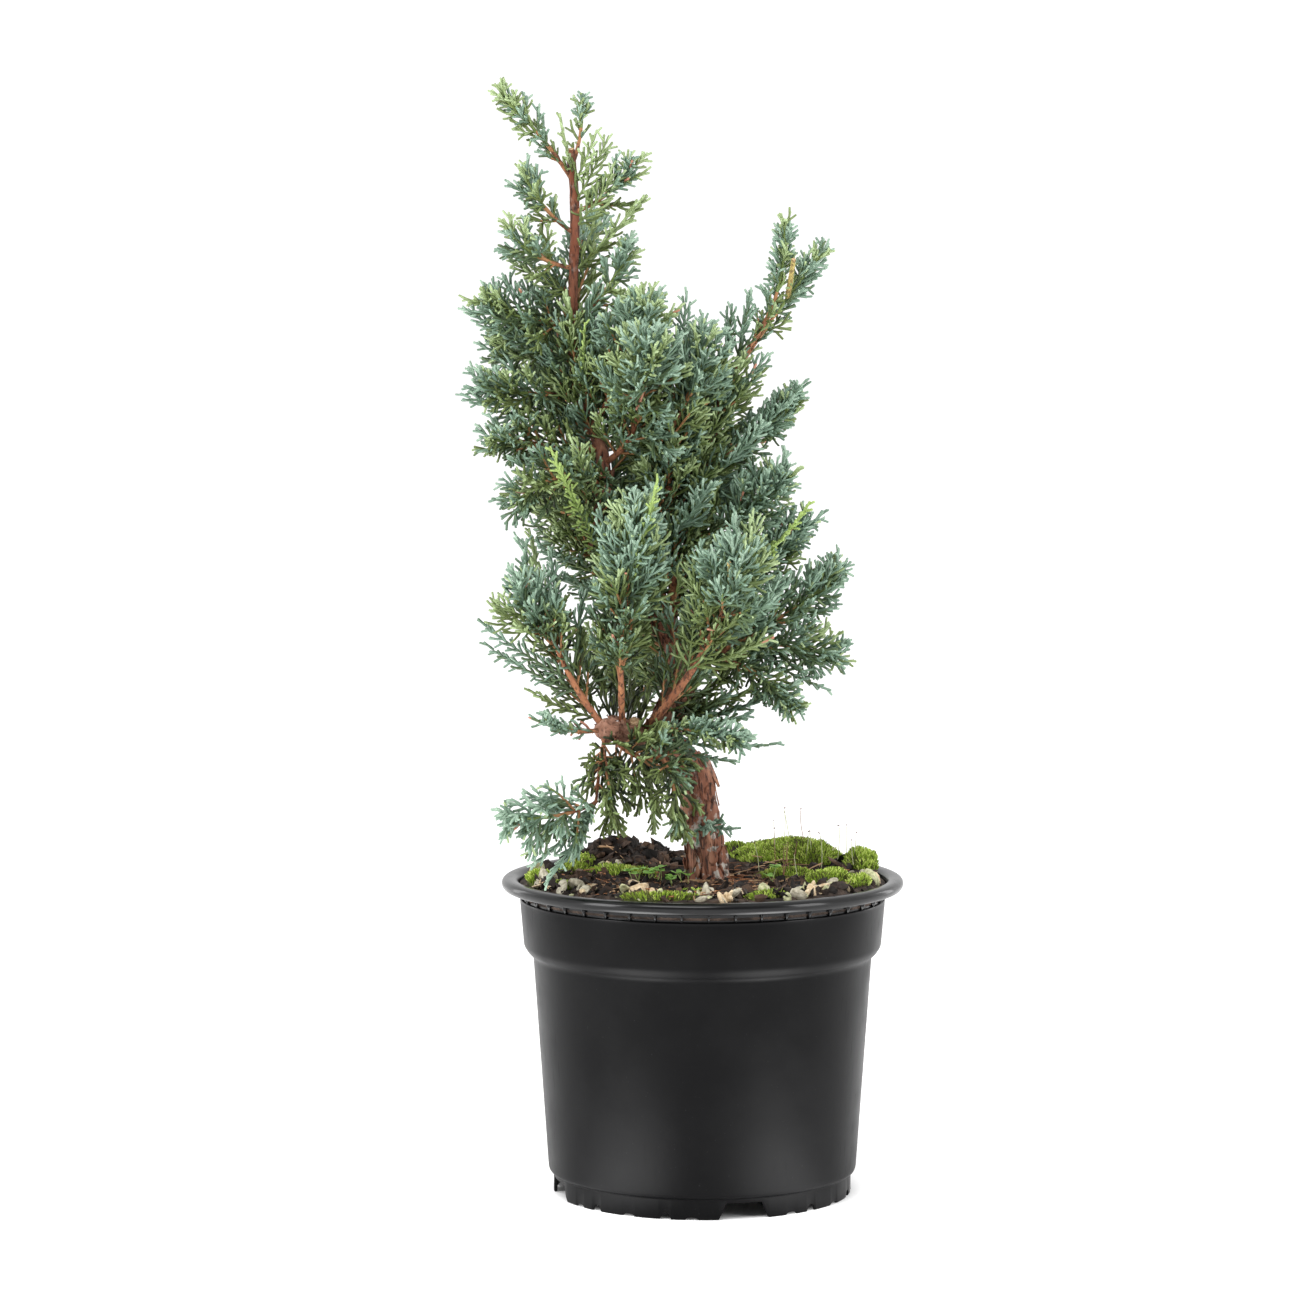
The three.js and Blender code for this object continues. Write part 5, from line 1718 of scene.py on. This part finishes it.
def lay_floor(settings):
    """A wide pale floor that glows a little, with painted pools of light left and right of the pot that the
    pot shows as low highlights, and a painted shadow under the pot where the glow is cut off.
    """
    corners = [(x * FLOOR_HALF, y * FLOOR_HALF, 0) for x, y in ((-1, -1), (1, -1), (1, 1), (-1, 1))]
    mesh = bpy.data.meshes.new("pale_floor")
    mesh.from_pydata(corners, [], [[0, 1, 2, 3]])
    finish = Finish("pale_floor", settings.floor, 0.9, emission_strength=1)
    # Painted light: two glowing pools, seen in the pot as highlights.
    painted_light_pools = sum(1 - finish.distance_to(place).between(*PAINTED_LIGHT_POOLS["fade"]) for place in PAINTED_LIGHT_POOLS["places"])
    # Painted shadow: no glow under the pot and in a ring round its foot.
    clear = finish.distance_to((0, 0, 0)).between(*PAINTED_SHADOW_UNDER_POT)
    glow = painted_light_pools.mix(grey(settings.floor_glow), grey(settings.painted_pool_glow))
    mesh.materials.append(finish.set(emission_color=clear.mix(grey(0), glow)))
    add_to_scene("pale_floor", mesh)


def light_room(settings):
    """Even light from behind and from the floor, less of it from the viewer's side."""
    world = bpy.data.worlds.new("studio")
    world.use_nodes = True
    room = Nodes(world.node_tree)
    towards = room.node("ShaderNodeTexCoord", output="Generated")
    behind = room.node("ShaderNodeSeparateXYZ", {}, {0: towards}, "Y").between(-0.85, 0.05)
    low = 1 - room.node("ShaderNodeSeparateXYZ", {}, {0: towards}, "Z").between(0.12, 0.2)
    light = (behind + low * (1 - behind)).mix(grey(settings.front_light), grey(settings.ambient))
    room.feed(world.node_tree.nodes["Background"].inputs["Color"], light)
    bpy.context.scene.world = world


def hang_lights(settings):
    """Large soft lights beside and above the viewer, and two strips behind that draw the pot's edges."""
    for name, (place, size, power, times) in SOFT_BOXES.items():
        light = bpy.data.lights.new(name, "AREA")
        light.shape = "RECTANGLE"
        light.size, light.size_y = size
        light.energy = getattr(settings, power) * times
        aim = (LIT_PLACE - Vector(place)).to_track_quat("-Z", "Y").to_euler()
        add_to_scene(name, light, place, aim)


def make_stage(settings):
    """The floor, the lights and the camera."""
    lay_floor(settings)
    light_room(settings)
    hang_lights(settings)
    camera = bpy.data.cameras.new("camera")
    camera.lens = settings.lens
    camera.sensor_width = 36
    level = math.pi / 2 - settings.camera_pitch
    holder = add_to_scene("camera", camera, settings.camera_place, (level, 0, 0))
    bpy.context.scene.camera = holder
    bpy.context.scene.view_settings.view_transform = "Standard"


# ---------------------------------------------------------------- settings


def size_of(name, description, metres):
    return FloatProperty(name=name, description=description, default=metres, unit="LENGTH", precision=4)


def count_of(name, description, number):
    return IntProperty(name=name, description=description, default=number, min=0)


def amount_of(name, description, amount, **more):
    return FloatProperty(name=name, description=description, default=amount, min=0, **more)


def colour_of(name, description, colour):
    limits = {"size": 3, "min": 0, "max": 1}
    return FloatVectorProperty(name=name, description=description, default=colour, subtype="COLOR", **limits)


class PotSettings(bpy.types.PropertyGroup):
    """Sizes and finish of the pot"""

    height: size_of("Height", "Height of the pot from the ground to its lip", POT_HEIGHT * MM)
    rim_radius: size_of("Rim radius", "Outer radius of the rolled lip", RIM_RADIUS * MM)
    ribs: count_of("Ribs", "Upright ribs round the neck under the lip", 44)
    colour: colour_of("Plastic", "Colour of the plastic", (0.0022, 0.0022, 0.0025))
    roughness: amount_of("Roughness", "How dull the plastic is", 0.34, max=1)


class GroundSettings(bpy.types.PropertyGroup):
    """What lies on the soil"""

    crumbs: count_of("Crumbs", "Lumps of soil on its surface", 3600)
    pebbles: count_of("Pebbles", "Stones of the gravel", 220)
    litter: count_of("Dead needles", "Fallen needles and bits of twig", 560)
    stalks: count_of("Moss stalks", "Thin stalks that stand up from the moss", 22)
    tuft_density: amount_of("Tuft density", "Moss tufts for each mm2 of half length by half width", 9)


class WoodSettings(bpy.types.PropertyGroup):
    """Bark of the trunk and boughs"""

    relief: size_of("Relief", "Depth of the bark's plates and cracks on the trunk", 0.0011)
    flakes: count_of("Flakes", "Loose plates of bark on the lower trunk", 60)


class FoliageSettings(bpy.types.PropertyGroup):
    """Size, spacing and colours of the foliage"""

    branchlet: size_of("Branchlet", "Thickness of a branchlet in its scale leaves", 0.0015)
    spacing: size_of("Branchlet spacing", "Distance between the branchlets of a spray", 0.0023)
    shoot_spacing: size_of("Shoot spacing", "Distance between the shoots of a stem", 0.0018)
    limb_spacing: size_of("Limb spray spacing", "Distance between the sprays on a limb", 0.0017)
    dead_share: amount_of("Dead share", "Share of branchlets that have dried", 0.002, max=1)
    roughness: amount_of("Roughness", "How dull the leaves are", 0.62, max=1)
    # The shade tone serves for old leaves and for painted shade deep inside the crown.
    shade: colour_of("Shade", "Old leaves low in the crown", (0.016, 0.026, 0.006))
    deep: colour_of("Deep", "Deep green leaves", (0.041, 0.067, 0.019))
    leaf: colour_of("Leaf", "Green leaves", (0.082, 0.13, 0.053))
    sea: colour_of("Sea", "Blue-green leaves", (0.12, 0.195, 0.125))
    glaucous: colour_of("Glaucous", "Leaves under a blue bloom", (0.178, 0.276, 0.199))
    silver: colour_of("Silver", "The palest leaves", (0.28, 0.395, 0.295))
    dark_olive: colour_of("Dark olive", "Leaves in the shade of the crown", (0.05, 0.07, 0.011))
    olive: colour_of("Olive", "Yellow-green leaves", (0.104, 0.143, 0.034))
    sage: colour_of("Sage", "Grey-green leaves", (0.167, 0.229, 0.078))
    pale_sage: colour_of("Pale sage", "Pale grey-green leaves", (0.245, 0.325, 0.14))
    fresh: colour_of("Fresh", "Yellow-green tips", (0.34, 0.44, 0.22))
    lime: colour_of("Lime", "The brightest young shoots", (0.31, 0.43, 0.12))
    dead: colour_of("Dead", "Dried pink-brown tips", (0.45, 0.2, 0.13))
    stem: colour_of("Young stem", "Green wood of young shoots", (0.14, 0.2, 0.045))


class StageSettings(bpy.types.PropertyGroup):
    """Floor, light and camera"""

    floor: colour_of("Floor", "Colour of the floor", (0.9, 0.9, 0.9))
    floor_glow: amount_of("Floor glow", "How far the floor shines by itself, as a lit table", 0.3)
    # The glow of the pools is painted light, reflected in the pot as highlights.
    painted_pool_glow: amount_of("Pool glow", "How far the floor shines left and right of the pot", 9)
    ambient: amount_of("Ambient", "Strength of the even light", 1.12)
    front_light: amount_of("Front light", "Strength of the even light from the viewer's side", 0.22)
    key: amount_of("Key", "Power of the main soft light", 22, unit="POWER")
    strip: amount_of("Strips", "Power of the two lights behind that draw the pot's edges", 2.2, unit="POWER")
    lens: amount_of("Lens", "Focal length in millimetres", 120.88)
    camera_place: FloatVectorProperty(
        name="Camera place",
        description="Where the camera stands",
        default=(-0.0248, -2.0464, 0.4314),
        subtype="TRANSLATION",
        unit="LENGTH",
    )
    camera_pitch: FloatProperty(
        name="Camera pitch",
        description="How far the camera looks down",
        default=math.radians(4.87),
        subtype="ANGLE",
    )


# ---------------------------------------------------------------- operators and panel


class JUNIPER_OT_stage(bpy.types.Operator):
    """Lay the floor and set the lights and the camera"""

    bl_idname = "juniper.stage"
    bl_label = "Stage"

    def execute(self, context):
        make_stage(context.scene.juniper_stage)
        return {"FINISHED"}


class JUNIPER_OT_pot(bpy.types.Operator):
    """Make the pot with its rolled lip, ribbed neck and notched foot"""

    bl_idname = "juniper.pot"
    bl_label = "Pot"

    def execute(self, context):
        make_pot(context.scene.juniper_pot)
        return {"FINISHED"}


class JUNIPER_OT_soil(bpy.types.Operator):
    """Fill the pot with crumbly soil and strew gravel and dead needles on it"""

    bl_idname = "juniper.soil"
    bl_label = "Soil, gravel and litter"

    def execute(self, context):
        settings = context.scene.juniper_ground
        make_soil(settings)
        make_pebbles(settings)
        make_litter(settings)
        return {"FINISHED"}


class JUNIPER_OT_moss(bpy.types.Operator):
    """Grow the moss cushions, their stalks and the seedlings"""

    bl_idname = "juniper.moss"
    bl_label = "Moss and seedlings"

    def execute(self, context):
        settings = context.scene.juniper_ground
        make_moss(settings)
        make_seedlings(settings)
        return {"FINISHED"}


class JUNIPER_OT_wood(bpy.types.Operator):
    """Grow the trunk and boughs with the relief of their bark"""

    bl_idname = "juniper.wood"
    bl_label = "Trunk and boughs"

    def execute(self, context):
        settings = context.scene.juniper_wood
        limbs, stems = lay_plant()
        make_trunk(settings, limbs)
        make_boughs(settings, limbs, stems)
        return {"FINISHED"}


class JUNIPER_OT_foliage(bpy.types.Operator):
    """Grow the twigs and sprays of every mass of foliage"""

    bl_idname = "juniper.foliage"
    bl_label = "Foliage"

    def execute(self, context):
        make_foliage(context.scene.juniper_foliage, *lay_plant())
        return {"FINISHED"}


SETTINGS = {
    "juniper_pot": PotSettings,
    "juniper_ground": GroundSettings,
    "juniper_wood": WoodSettings,
    "juniper_foliage": FoliageSettings,
    "juniper_stage": StageSettings,
}
OPERATORS = [
    JUNIPER_OT_stage,
    JUNIPER_OT_pot,
    JUNIPER_OT_soil,
    JUNIPER_OT_moss,
    JUNIPER_OT_wood,
    JUNIPER_OT_foliage,
]


class JUNIPER_PT_panel(bpy.types.Panel):
    """Lists the juniper's settings and operators"""

    bl_idname = "JUNIPER_PT_panel"
    bl_label = "Potted Juniper"
    bl_space_type = "VIEW_3D"
    bl_region_type = "UI"
    bl_category = "Juniper"

    def draw(self, context):
        for name, group in SETTINGS.items():
            box = self.layout.box()
            box.label(text=group.__doc__)
            for key in group.__annotations__:
                box.prop(getattr(context.scene, name), key)
        for operator in OPERATORS:
            self.layout.operator(operator.bl_idname)


CLASSES = [*SETTINGS.values(), *OPERATORS, JUNIPER_PT_panel]


def register():
    for each in CLASSES:
        bpy.utils.register_class(each)
    for name, group in SETTINGS.items():
        setattr(bpy.types.Scene, name, PointerProperty(type=group))


def unregister():
    for name in SETTINGS:
        delattr(bpy.types.Scene, name)
    for each in reversed(CLASSES):
        bpy.utils.unregister_class(each)


def main():
    """Makes the whole potted plant."""
    register()
    bpy.ops.juniper.stage()
    bpy.ops.juniper.pot()
    bpy.ops.juniper.soil()
    bpy.ops.juniper.moss()
    bpy.ops.juniper.wood()
    bpy.ops.juniper.foliage()


if __name__ == "__main__":
    main()
